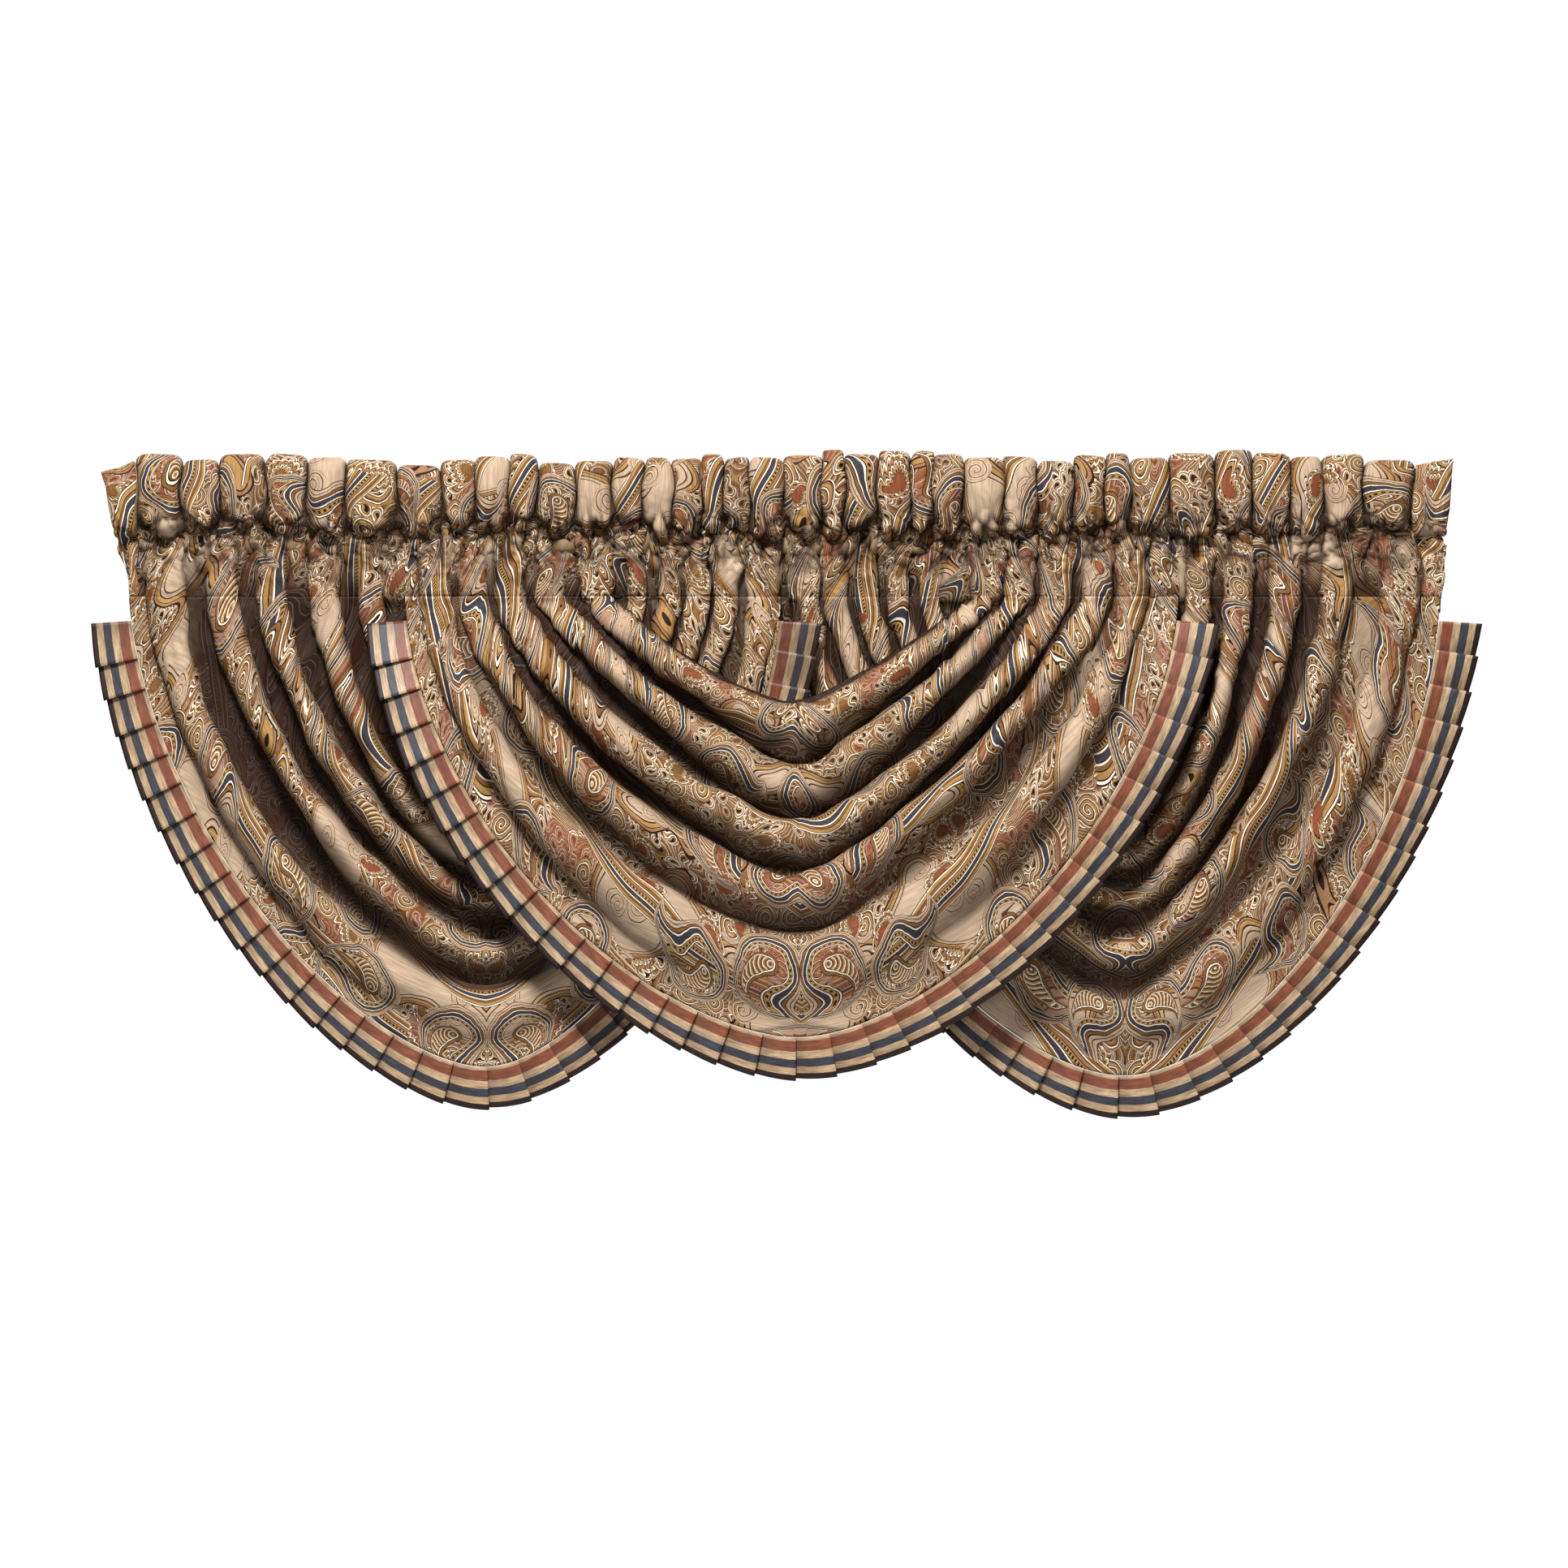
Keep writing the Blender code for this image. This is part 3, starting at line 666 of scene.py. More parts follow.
def pocket_shape(columns, edges):
    """The rod pocket's half depth, foot depth and top drop at each column."""
    x = columns.copy()
    flats = LEFT_FLATS + [Flat(edges[0], 0, PUFFS[0].drop + GATHER_DIP, GATHER_DEPTH)]
    ends = [Flat(edges[-1], 0, PUFFS[-1].drop + GATHER_DIP, GATHER_DEPTH)] + RIGHT_FLATS
    places = [flat.x for flat in flats + ends]
    depth = np.interp(columns, places, [flat.depth for flat in flats + ends])
    top = np.interp(columns, places, [flat.drop for flat in flats + ends])
    foot = depth * FOOT_SHARE
    sag = np.zeros_like(columns)
    draw = np.random.default_rng(5)
    for puff, left in zip(PUFFS, edges[:-1]):
        offset = (columns - left) / puff.width * 2 - 1
        inside = np.abs(offset) <= 1
        t = offset[inside]
        full = PUFF_DEPTH * (SLIM_SHARE + (1 - SLIM_SHARE) * puff.width / WIDEST_PUFF)
        belly = np.sqrt(np.clip(1 - np.abs(t) ** PUFF_ROUND, 0.0, 1.0))
        lean = draw.uniform(*LEANS)
        crease = GATHER_DEPTH * draw.uniform(*GATHER_SHARES)
        depth[inside] = crease + (full - crease) * belly * (1 + 0.05 * lean * t)
        foot[inside] = crease + (full * FOOT_SHARE - crease) * belly
        sag[inside] = draw.uniform(*SAGS) - CORNER_SAG * np.abs(t) ** 3
        dip = GATHER_DIP * CORNER_DIP * np.abs(t) ** 5
        top[inside] = puff.drop + dip + lean * t * (1 - np.abs(t) ** 4)
        outline = PUFF_SQUARE * t + (1 - PUFF_SQUARE) * np.sin(np.radians(t * PUFF_TURN))
        x[inside] = left + puff.width / 2 + outline * puff.width / 2 * PUFF_SPREAD
    return Pocket(x, depth, foot, top, sag)


def lean_of(columns):
    """How far the flat ends lean inwards at the seam."""
    flats = LEFT_FLATS + [Flat(FIRST_PUFF, 0, 0, 0), Flat(FIRST_PUFF * -1, 0, 0, 0)] + RIGHT_FLATS
    return np.interp(columns, [flat.x for flat in flats], [flat.lean for flat in flats])


HeadingRow = namedtuple("HeadingRow", "drop pinch seam swell shade")

# Rows of the heading's front below the rod pocket, from the seam up: the share of the pinched
# gathers and of the swags' folds in the cloth's shape, the rest being the puffs, how much the folds
# swell, and the painted shade
APRON_ROWS = [HeadingRow(*row) for row in (
    (131.5, 0.0, 1.0, 1.02, 0.0), (127, 0.0, 1.0, 1.06, 0.0),
    (120, 0.1, 1.0, 1.15, 0.0), (112, 0.3, 0.9, 1.3, 0.0),
    (104, 0.55, 0.75, 1.4, 0.0), (96, 0.8, 0.5, 1.3, 0.1),
    (89, 0.95, 0.3, 1.1, 0.15), (83, 1.0, 0.15, 1.0, 0.2),
    (78, 1.0, 0.0, 0.8, 0.4),
)]
SEAM_ALLOWANCE = 13.0
BACK_HEM_DROP = 92.0
LAYER_GAP = 2.4

# The apron's lower edge sinks behind the tops of the swags, by this much back and unevenly down
LAP_BACK = 0.9
LAP_FALL = 2.0
LAP_HEIGHT = 8.0
LAP_LENGTH = 84.0

# The puffs' uneven feet pull the cloth below them, up from this drop
SAG_FROM = 98.0
SAG_BLEND = 20.0

# Uneven stretches of the gathered cloth: how far it wanders, and over what length
SWAY = 2.2
SWAY_LENGTH = 34.0
SWAY_BLEND = 14.0
CRUMPLE = 2.0
CRUMPLE_LENGTH = 21.0

# Crumples along the stitching, soft lobes with sharp crevices between: their height and length, the
# width and strength of the painted shade in the crevices, and the heights where they start, are
# strongest and end
LOBE_HEIGHT = 6.2
LOBE_LENGTH = 28.0
CREVICE = 0.62
CREVICE_SHADE = 1.5
LOBE_DROPS = (30.0, 54.0, 70.0, 90.0, 124.0)
LOBE_SHARES = (0.0, 0.3, 1.0, 0.75, 0.0)


def gathered_part(columns):
    """1 on the gathered cloth, 0 on the flat ends."""
    last = FIRST_PUFF + sum(puff.width for puff in PUFFS)
    return np.interp(columns, (FIRST_PUFF - 4, FIRST_PUFF + 6, last - 6, last + 4), (0.0, 1.0, 1.0, 0.0))


def apron_row(row, columns, pocket, pinches, folds, puckered):
    """One row of points across the gathered cloth below the pocket, and its painted shade."""
    drop = row.drop * np.ones_like(columns)
    away = ease((SEAM_DROP - drop) / SWAY_BLEND)
    lap = 1 - ease((SEAM_DROP - drop) / LAP_HEIGHT)
    puffs = max(0.0, 1 - row.pinch - row.seam)
    across, forward, shade = columns.copy(), -LAP_BACK * lap, 0.0
    for share, shape, swell in ((row.pinch, pinches, 1.0), (row.seam, folds, row.swell)):
        part = share / max(1.0, row.pinch + row.seam)
        across = across + part * (shape[0] - columns)
        forward = forward + part * shape[1] * swell
        shade = shade + part * shape[2]
    # Painted shade at the foot of the puckers in wide gaps
    shade = np.maximum(shade, puckered * np.interp(row.drop, PUCKER_FOOT_DROPS, (0.0, 1.0)))
    across = across + puffs * (pocket.x - columns)
    forward = forward + puffs * pocket.foot
    across = across + away * SWAY * (0.6 + row.pinch) * waves(columns, drop, SWAY_LENGTH, 21)
    forward = forward + away * CRUMPLE * waves(columns, drop, CRUMPLE_LENGTH, 22)
    fallen = drop + away * row.pinch * CRUMPLE * waves(columns, drop, SWAY_LENGTH, 23)
    tubes = 1 - 0.9 * folds[2]
    fallen = fallen + lap * LAP_FALL * tubes * (1.0 + waves(columns, 0.0, LAP_LENGTH, 25))
    fallen = fallen + ease((SAG_FROM - drop) / SAG_BLEND) * pocket.sag
    lean = lean_of(columns) * row.drop / SEAM_DROP
    points = np.column_stack([across + lean, -forward, -fallen])
    # Painted shade of the gathered cloth, none on the flat ends
    return points, np.clip((0.95 * shade + row.shade) * gathered_part(columns), 0.0, 1.0)


def pocket_rows(columns, pocket, edges):
    """Rows of points up the pocket's front, over its top and down its back, with their painted shades."""
    level = np.ones_like(columns)
    offset = puff_offset(columns, edges)
    # Painted shade in the creases at the puffs' sides
    side = SIDE_DARK * ease((np.abs(offset) - SIDE_FROM) / SIDE_BLEND)
    bunch = 2.0 * waves(columns, 0.0, 19.0, 31)
    belly = (pocket.depth + pocket.foot) / 2 + 2.0
    foot_drop = POCKET_FOOT_DROP + pocket.sag + 1.2 * waves(columns, 0.0, 27.0, 32)
    width = np.interp(columns, (edges[1:] + edges[:-1]) / 2, np.diff(edges))
    tapered = FOOT_TAPER * width / 2 * offset * (1 - offset ** 6)
    # Each section's third value is its painted shade: a little on the foot and the front of the top, and
    # more at the back's foot
    sections = [
        (-0.62 * pocket.foot - bunch, foot_drop + 7.5, 0.15), (-pocket.foot - 2.5 - bunch, foot_drop, 0.0),
        (-belly - 0.5 * bunch, 52 * level, 0.0), (-pocket.depth - 0.9, 35 * level, 0.0),
        (-pocket.depth, pocket.top + SHOULDER, 0.07), (-0.82 * pocket.depth, pocket.top + 3.2, 0.1),
        (-pocket.depth / 2, pocket.top, 0.1), (0.0 * level, pocket.top - 0.4, 0.0),
        (pocket.depth / 2, pocket.top, 0.0), (pocket.depth, pocket.top + SHOULDER, 0.0),
        (pocket.depth, 38 * level, 0.0), (pocket.foot, POCKET_FOOT_DROP * level, 0.4),
    ]
    rows = []
    for y, drop, shade in sections:
        x = pocket.x + lean_of(columns) * drop / SEAM_DROP
        x = x + SWAY * 0.7 * waves(columns, drop, 44.0, 24)
        if y[0] < 0:
            x = x - tapered * ease((drop - TAPER_FROM) / (POCKET_FOOT_DROP - TAPER_FROM))
        rows.append((np.column_stack([x, y, -drop]), np.maximum(shade, side)))
    return rows


def heading_control(columns, edges):
    """Control rows of the heading, from the seam allowance up the front and down the back."""
    pocket = pocket_shape(columns, edges)
    pinches = rolled(columns, pinch_rolls(edges), FOLD_TURN)
    folds = rolled(columns, seam_rolls(), FOLD_TURN)
    puckered = pucker_cover(columns)
    front = [apron_row(row, columns, pocket, pinches, folds, puckered) for row in APRON_ROWS]
    behind = np.array([0.0, LAYER_GAP, 0.0])
    seam, _ = front[0]
    # The seam allowance turned behind the apron carries painted shade
    turned = [
        (seam + 4 * behind - (0, 0, SEAM_ALLOWANCE), 0.4), (seam + 1.3 * behind + (0, 0, 1.5), 0.4),
        (seam + 0.35 * behind + (0, 0, 0.3), 0.3),
    ]
    pinch, _ = front[-1]
    hem = pinch + 1.6 * behind
    hem[:, 2] = -BACK_HEM_DROP
    # Painted shade on the row behind the stitching and on the back's hem
    rows = turned + front + pocket_rows(columns, pocket, edges) + [(pinch + behind, 0.9), (hem, 0.3)]
    level = np.ones_like(columns)
    return np.array([points for points, _ in rows]), np.array([shade * level for _, shade in rows])


def crumple(grid, shade):
    """Press soft lobes into the gathered cloth on both sides of the stitching, with painted shade in the
    crevices.
    """
    across, drop = grid[:, :, 0], -grid[:, :, 2]
    number = len(grid) - 1 - np.argmax(grid[::-1, :, 2], axis=0)
    front = np.arange(len(grid))[:, None] < number[None, :]
    strength = np.interp(drop, LOBE_DROPS, LOBE_SHARES) * front
    wave = np.abs(waves(1.5 * across, 0.9 * drop, LOBE_LENGTH, 26))
    wave = np.minimum(wave, np.abs(waves(1.2 * across, 1.2 * drop, 0.8 * LOBE_LENGTH, 27)) + 0.12)
    height = LOBE_HEIGHT * strength * (np.sqrt(np.minimum(wave, 1.0)) - 0.6)
    # Painted shade in the crevices between the lobes, up to full
    depth = np.minimum(CREVICE_SHADE * strength, 1.0)
    crevice_shade = depth * ease((CREVICE - wave) / CREVICE) * gathered_part(across)
    return grid - height[:, :, None] * grid_normals(grid), np.maximum(shade, crevice_shade)


def heading_sheet():
    """The fine surface of the heading, with its flat coordinates and painted shade."""
    edges = puff_edges()
    columns = heading_columns(edges)
    control, shades = heading_control(columns, edges)
    drops = -control[:, :, 2].mean(axis=1)
    low, more = FRONT_FINENESS
    fineness = low + more * np.interp((drops[1:] + drops[:-1]) / 2, LOBE_DROPS, LOBE_SHARES)
    fineness[len(APRON_ROWS) + BACK_ROWS:] = BACK_FINENESS
    grid, rows = refine_rows(control, HEADING_ROWS, fineness)
    gathers = np.searchsorted(edges, columns + 0.5, side="right") * GATHER_CLOTH
    across = arc_lengths(control[len(APRON_ROWS) + BELLY_ROW]) + gathers
    down = running(np.linalg.norm(np.diff(grid, axis=0), axis=2).mean(axis=1))
    flat_v, flat_u = np.meshgrid(across, down)
    grid, shade = crumple(grid, between_rows(shades, rows))
    return Sheet(grid, flat_u, flat_v, shade)


def puff_offset(columns, edges):
    """Places within each puff, from -1 to 1, and 0 on the flat ends."""
    number = np.clip(np.searchsorted(edges, columns, side="right") - 1, 0, len(PUFFS) - 1)
    offset = (columns - edges[number]) / np.diff(edges)[number] * 2 - 1
    return np.where(np.abs(offset) <= 1, offset, 0.0)


# Pleated ribbon trim: pleats lap the same way all along, from the left end to the right end
PLEAT_PITCH = 30.0
PLEAT_LAP = 3.0
TRIM_WIDTH = 36.5
TRIM_FLARE = 2.5
TRIM_START = 22.0
RELIEF_AT_SEAM = 3.0
RELIEF_AT_EDGE = 5.5

# How uneven the laps and the pleats' turns are, how much the ribbon bows, and where its painted shadow
# starts
LAP_SHARES = (0.6, 1.4)
PLEAT_TURNS = (-0.8, 0.8)
RIBBON_BOW = 0.9
SHADOW_FROM = 0.9
SHADOW_BLEND = 0.04

# Samples along each pleat's face, and across the ribbon
FACE_STEPS = 14
RIBBON_STEPS = 20


def pleat_profile():
    """One pleat along the hem: shares of the pitch, and shares of the relief, from start to tuck."""
    share = np.linspace(0.0, 1.0, FACE_STEPS)
    return share, share ** 1.35 + 0.10 * np.sin(math.pi * share)


def trim_sheet(swag):
    """The fine surface of the pleated ribbon: rows across the ribbon by columns along the hem."""
    line = hanging_line(swag.hem)
    whole = arc_lengths(line)[-1]
    run = whole - 2 * TRIM_START
    pleats = round(run / PLEAT_PITCH)
    edges = TRIM_START + run * np.arange(pleats + 1) / pleats
    draw = np.random.default_rng(60 + len(swag.name))
    samples = []
    face, relief = pleat_profile()
    for number, (start, stop) in enumerate(zip(edges[:-1], edges[1:])):
        last = number == pleats - 1
        end = stop if last else stop + PLEAT_LAP * draw.uniform(*LAP_SHARES)
        turn = draw.uniform(*PLEAT_TURNS)
        # Each sample's last value is painted shadow: full where a pleat starts under the lap of the one
        # before, none at its raised end, and full again at each tuck
        samples.extend(zip(start + (end - start) * face, relief, turn * (2 * face - 1), 1 - face))
        if not last:
            tuck = [(end + 0.25, 0.9, turn, 0.9), (end - 0.2, 0.72, turn, 1.0), (stop, 0.12, 0.0, 1.0)]
            samples.extend(tuck)
    lengths, raised, tilt, shade = np.array(samples).T
    # Painted shadow on the trim's right end, far in the opening, as strong as the swag's shadowed value
    shade = np.maximum(shade, swag.shadowed * ease((lengths / whole - SHADOW_FROM) / SHADOW_BLEND))
    lowest = lengths_at_places(line, np.array([0.0]))[0]
    places = np.where(lengths < lowest, lengths / lowest - 1, (lengths - lowest) / (whole - lowest))
    base, outward = along_line(line, lengths)
    forward = forward_of(swag, places) + HEM_LIFT
    chord = np.column_stack([outward[:, 1], -outward[:, 0]])
    rows = []
    shares = np.linspace(0.0, 1.0, RIBBON_STEPS)
    for share in shares:
        reach = HEM_GAP + (TRIM_WIDTH - HEM_GAP) * share + TRIM_FLARE * raised * share
        relief = RELIEF_AT_SEAM + (RELIEF_AT_EDGE - RELIEF_AT_SEAM) * share
        bow = RIBBON_BOW * math.sin(math.pi * share)
        flat = base + reach[:, None] * outward + (tilt * share * 1.2)[:, None] * chord
        rows.append(np.column_stack([flat[:, 0], -forward - relief * raised - bow, flat[:, 1]]))
    grid = np.array(rows)
    flat_u, flat_v = np.meshgrid(arc_lengths(grid[RIBBON_STEPS // 2]), shares * TRIM_WIDTH)
    return Sheet(grid, flat_u, flat_v, np.tile(shade, (RIBBON_STEPS, 1)))


# Signs for the sums of the shader
SIGNS = {
    "*+": "MULTIPLY_ADD", "*": "MULTIPLY", "/": "DIVIDE", "+": "ADD", "-": "SUBTRACT", ">": "GREATER_THAN",
    "<": "LESS_THAN",
}


class Wires:
    """Builds a cloth's material from arithmetic on sockets and numbers."""

    def __init__(self, name):
        self.material = bpy.data.materials.new(name)
        self.material.use_nodes = True
        self.tree = self.material.node_tree
        self.shader = self.tree.nodes["Principled BSDF"]
        self.place = self.scaled(self.node("ShaderNodeUVMap", uv_map="cloth").outputs[0], 1 / METRES)

    def node(self, kind, inputs=(), **settings):
        """Add a node, set its properties, and link or fill its inputs in order."""
        node = self.tree.nodes.new(kind)
        for key, value in settings.items():
            setattr(node, key, value)
        for socket, value in zip(node.inputs, inputs):
            self.join(socket, value)
        return node

    def join(self, socket, value):
        """Link a socket to another, or give it a value."""
        if value is None:
            return
        if isinstance(value, bpy.types.NodeSocket):
            self.tree.links.new(value, socket)
        else:
            socket.default_value = value

    def math(self, operation, *inputs, clamp=False):
        """A number worked out from others."""
        operation = SIGNS.get(operation, operation)
        return self.node("ShaderNodeMath", inputs, operation=operation, use_clamp=clamp).outputs[0]

    def vector(self, operation, *inputs):
        """A vector worked out from others."""
        return self.node("ShaderNodeVectorMath", inputs, operation=SIGNS[operation]).outputs[0]

    def scaled(self, vector, amount):
        """A vector times a number."""
        node = self.node("ShaderNodeVectorMath", operation="SCALE")
        self.join(node.inputs["Vector"], vector)
        self.join(node.inputs["Scale"], amount)
        return node.outputs[0]

    def split(self, vector):
        """The x, y and z of a vector."""
        return self.node("ShaderNodeSeparateXYZ", (vector,)).outputs

    def noise(self, place, size, seed, detail=1.0):
        """Soft random values, and a soft random vector, that vary over the given size."""
        moved = self.vector("+", self.scaled(place, 1 / size), (seed, seed * 1.7, seed * 0.3))
        node = self.node("ShaderNodeTexNoise", noise_dimensions="2D")
        self.join(node.inputs["Vector"], moved)
        self.join(node.inputs["Scale"], 1.0)
        self.join(node.inputs["Detail"], detail)
        return node.outputs["Fac"], node.outputs["Color"]

    def streaks(self, stretch, size, seed):
        """Soft random values drawn out along the cloth."""
        return self.noise(self.vector("*", self.place, (stretch, 1.0, 1.0)), size, seed, 2.0)[0]

    def mix(self, factor, first, second, blend="MIX"):
        """A colour between two."""
        node = self.node("ShaderNodeMix", data_type="RGBA", blend_type=blend)
        self.join(node.inputs[0], factor)
        self.join(node.inputs[6], first)
        self.join(node.inputs[7], second)
        return node.outputs[2]

    def bands(self, value, stops, width):
        """Colour and cover of bands: stops are (where the band starts, colour or None)."""
        ramp = self.node("ShaderNodeValToRGB")
        ramp.color_ramp.interpolation = "CONSTANT"
        self.join(ramp.inputs[0], self.math("/", value, width))
        marks = ramp.color_ramp.elements
        for number, (start, colour) in enumerate(stops):
            mark = marks[number] if number < 2 else marks.new(0.999)
            mark.position = start / width
            mark.color = colour or (0, 0, 0, 0)
        return ramp.outputs["Color"], ramp.outputs["Alpha"]

    def dress(self, colour, relief, bump, roughness, specular):
        """Give the shader its colour, its threads' relief, with strength and height, and its gloss."""
        node = self.node("ShaderNodeBump")
        for name, value in zip(("Strength", "Distance", "Height"), (*bump, relief)):
            self.join(node.inputs[name], value)
        names = ("Base Color", "Roughness", "Specular IOR Level", "Normal")
        for name, value in zip(names, (colour, roughness, specular, node.outputs[0])):
            self.join(self.shader.inputs[name], value)
        return self.material


def tone(red, green, blue):
    """A colour for the shader from its everyday 0 to 255 values."""
    return (*(((value / 255 + 0.055) / 1.055) ** 2.4 for value in (red, green, blue)), 1.0)


BEIGE = tone(185, 160, 134)
TAN = tone(152, 112, 77)
GOLD = tone(165, 125, 73)
OCHRE = tone(124, 85, 48)
BROWN = tone(86, 54, 34)
DARK = tone(36, 20, 13)
CREAM = tone(233, 219, 199)
SLATE = tone(57, 54, 60)
RUST = tone(130, 70, 46)

# The stripe bundles that flow across the cloth: where each band starts, in millimetres
STREAM_BANDS = [
    (0.0, DARK), (0.7, CREAM), (1.7, DARK), (2.3, GOLD), (5.0, DARK), (5.6, OCHRE), (7.6, CREAM),
    (8.5, DARK), (9.0, SLATE), (12.6, CREAM), (13.5, DARK), (14.1, GOLD), (17.2, DARK), (17.8, TAN),
    (19.8, DARK), (20.4, CREAM), (21.3, OCHRE), (23.6, DARK), (24.2, GOLD), (26.4, CREAM),
    (27.3, DARK), (27.9, None),
]
STREAM_PITCH = 92.0
STREAM_DOTS = (14.6, 16.6)

# The bands round a large drop, as shares of its outline
DROP_BANDS = [
    (0.0, GOLD), (0.10, DARK), (0.13, CREAM), (0.18, DARK), (0.21, OCHRE), (0.30, DARK),
    (0.33, None), (0.61, DARK), (0.63, CREAM), (0.66, DARK),
    (0.68, GOLD), (0.775, DARK), (0.795, CREAM), (0.825, SLATE), (0.945, CREAM), (0.975, DARK),
    (1.0, OCHRE), (1.05, DARK), (1.07, BEIGE), (1.12, BROWN), (1.14, BEIGE), (1.19, BROWN),
    (1.21, None),
]
DROP_DOTS = (0.70, 0.755)
SHELL_BANDS = [(0.0, DARK), (0.16, GOLD), (0.52, CREAM), (0.72, OCHRE)]

# The bands round a scalloped leaf
LEAF_BANDS = [
    (0.0, OCHRE), (0.24, DARK), (0.31, GOLD), (0.46, DARK), (0.52, CREAM), (0.60, DARK), (0.66, TAN),
    (0.78, DARK), (0.84, GOLD), (0.95, CREAM), (1.04, DARK), (1.10, None),
]

# The windings of a small spiral, on the busy ground and on a plain patch
SPIRAL_BANDS = [(0.0, DARK), (0.16, CREAM), (0.34, DARK), (0.46, GOLD), (0.80, OCHRE)]
THIN_BANDS = [(0.0, BROWN), (0.15, BEIGE), (0.50, TAN), (0.58, BEIGE)]
SPIRAL_REACH = 12.0

# The fine lines of the busy ground, and the bands at the edge of a plain patch, as shares of the
# value that tells plain from busy
GROUND_BANDS = [(0.0, OCHRE), (0.30, DARK), (0.40, TAN), (0.62, CREAM), (0.72, DARK), (0.82, GOLD)]
SPRIG_BANDS = [
    (0.0, DARK), (0.16, GOLD), (0.42, DARK), (0.52, CREAM), (0.74, DARK), (0.86, GOLD), (1.06, CREAM),
    (1.22, DARK), (1.34, None),
]
PATCH_BANDS = [
    (0.0, None), (0.552, DARK), (0.560, TAN), (0.571, DARK), (0.576, GOLD), (0.596, DARK),
    (0.603, BEIGE), (0.625, BROWN), (0.631, BEIGE),
]
PLAIN_FROM = 0.552


def dotted(w, value, span, phase, count):
    """Cover of dots along a narrow band of a value."""
    low, high = span
    inside = w.math("*", w.math(">", value, low), w.math("<", value, high))
    spot = w.math(">", w.math("SINE", w.math("*", phase, count)), 0.0)
    return w.math("*", inside, spot)


Cells = namedtuple("Cells", "share radius angle pick")


def cell_drops(w, place, size, reach, scallops, seed, spread):
    """Paisley drops, one to a random cell: share of the way to the outline, and random values."""
    moved = w.vector("+", w.scaled(place, 1 / size), (seed, seed, 0.0))
    cells = w.node("ShaderNodeTexVoronoi", voronoi_dimensions="2D", feature="F1")
    w.join(cells.inputs["Vector"], moved)
    w.join(cells.inputs["Scale"], 1.0)
    w.join(cells.inputs["Randomness"], spread)
    local = w.vector("-", moved, cells.outputs["Position"])
    x, y, _ = w.split(w.scaled(local, size))
    red, green, blue = w.node("ShaderNodeSeparateColor", (cells.outputs["Color"],)).outputs
    radius = w.math("SQRT", w.math("+", w.math("*", x, x), w.math("*", y, y)))
    side = w.math("-", w.math("*", w.math(">", green, 0.5), 2.0), 1.0)
    swirl = w.math("*", w.math("*", radius, side), 1.3 / reach)
    turned = w.math("+", w.math("+", w.math("ARCTAN2", y, x), swirl), w.math("*", red, TURN))
    angle = w.math("WRAP", turned, math.pi, -math.pi)
    tip = w.math("EXPONENT", w.math("*", w.math("ABSOLUTE", angle), -1.7))
    outline = w.math("*+", tip, 0.95 * reach, 0.8 * reach)
    if scallops:
        scallop = w.math("ABSOLUTE", w.math("SINE", w.math("*", angle, scallops / 2)))
        outline = w.math("*", outline, w.math("*+", scallop, 0.16, 0.9))
    share = w.math("*+", w.math("-", radius, outline), 1 / (0.8 * reach), 1.0)
    return Cells(share, radius, angle, blue)


def ground_weave(w, place, warped):
    """Plain beige patches among busy flowing lines; also tells which is which."""
    quiet, _ = w.noise(place, 96.0, 27.3)
    flow, zone_way = w.noise(warped, 58.0, 14.2)
    zone, _, _ = w.split(zone_way)
    lines = w.math("FRACT", w.math("*", flow, 30.0))
    busy, _ = w.bands(lines, GROUND_BANDS, 1.0)
    sprigs = cell_drops(w, warped, 15.5, 5.2, 0, 2.6, 0.9)
    sprig, cover = w.bands(sprigs.share, SPRIG_BANDS, 1.5)
    busy = w.mix(cover, busy, sprig)
    busy = w.mix(w.math("*", w.math(">", zone, 0.60), 0.62), busy, RUST)
    busy = w.mix(w.math("*", w.math("<", zone, 0.40), 0.40), busy, BROWN)
    patch, cover = w.bands(quiet, PATCH_BANDS, 1.0)
    return w.mix(cover, busy, patch), w.math(">", quiet, PLAIN_FROM)


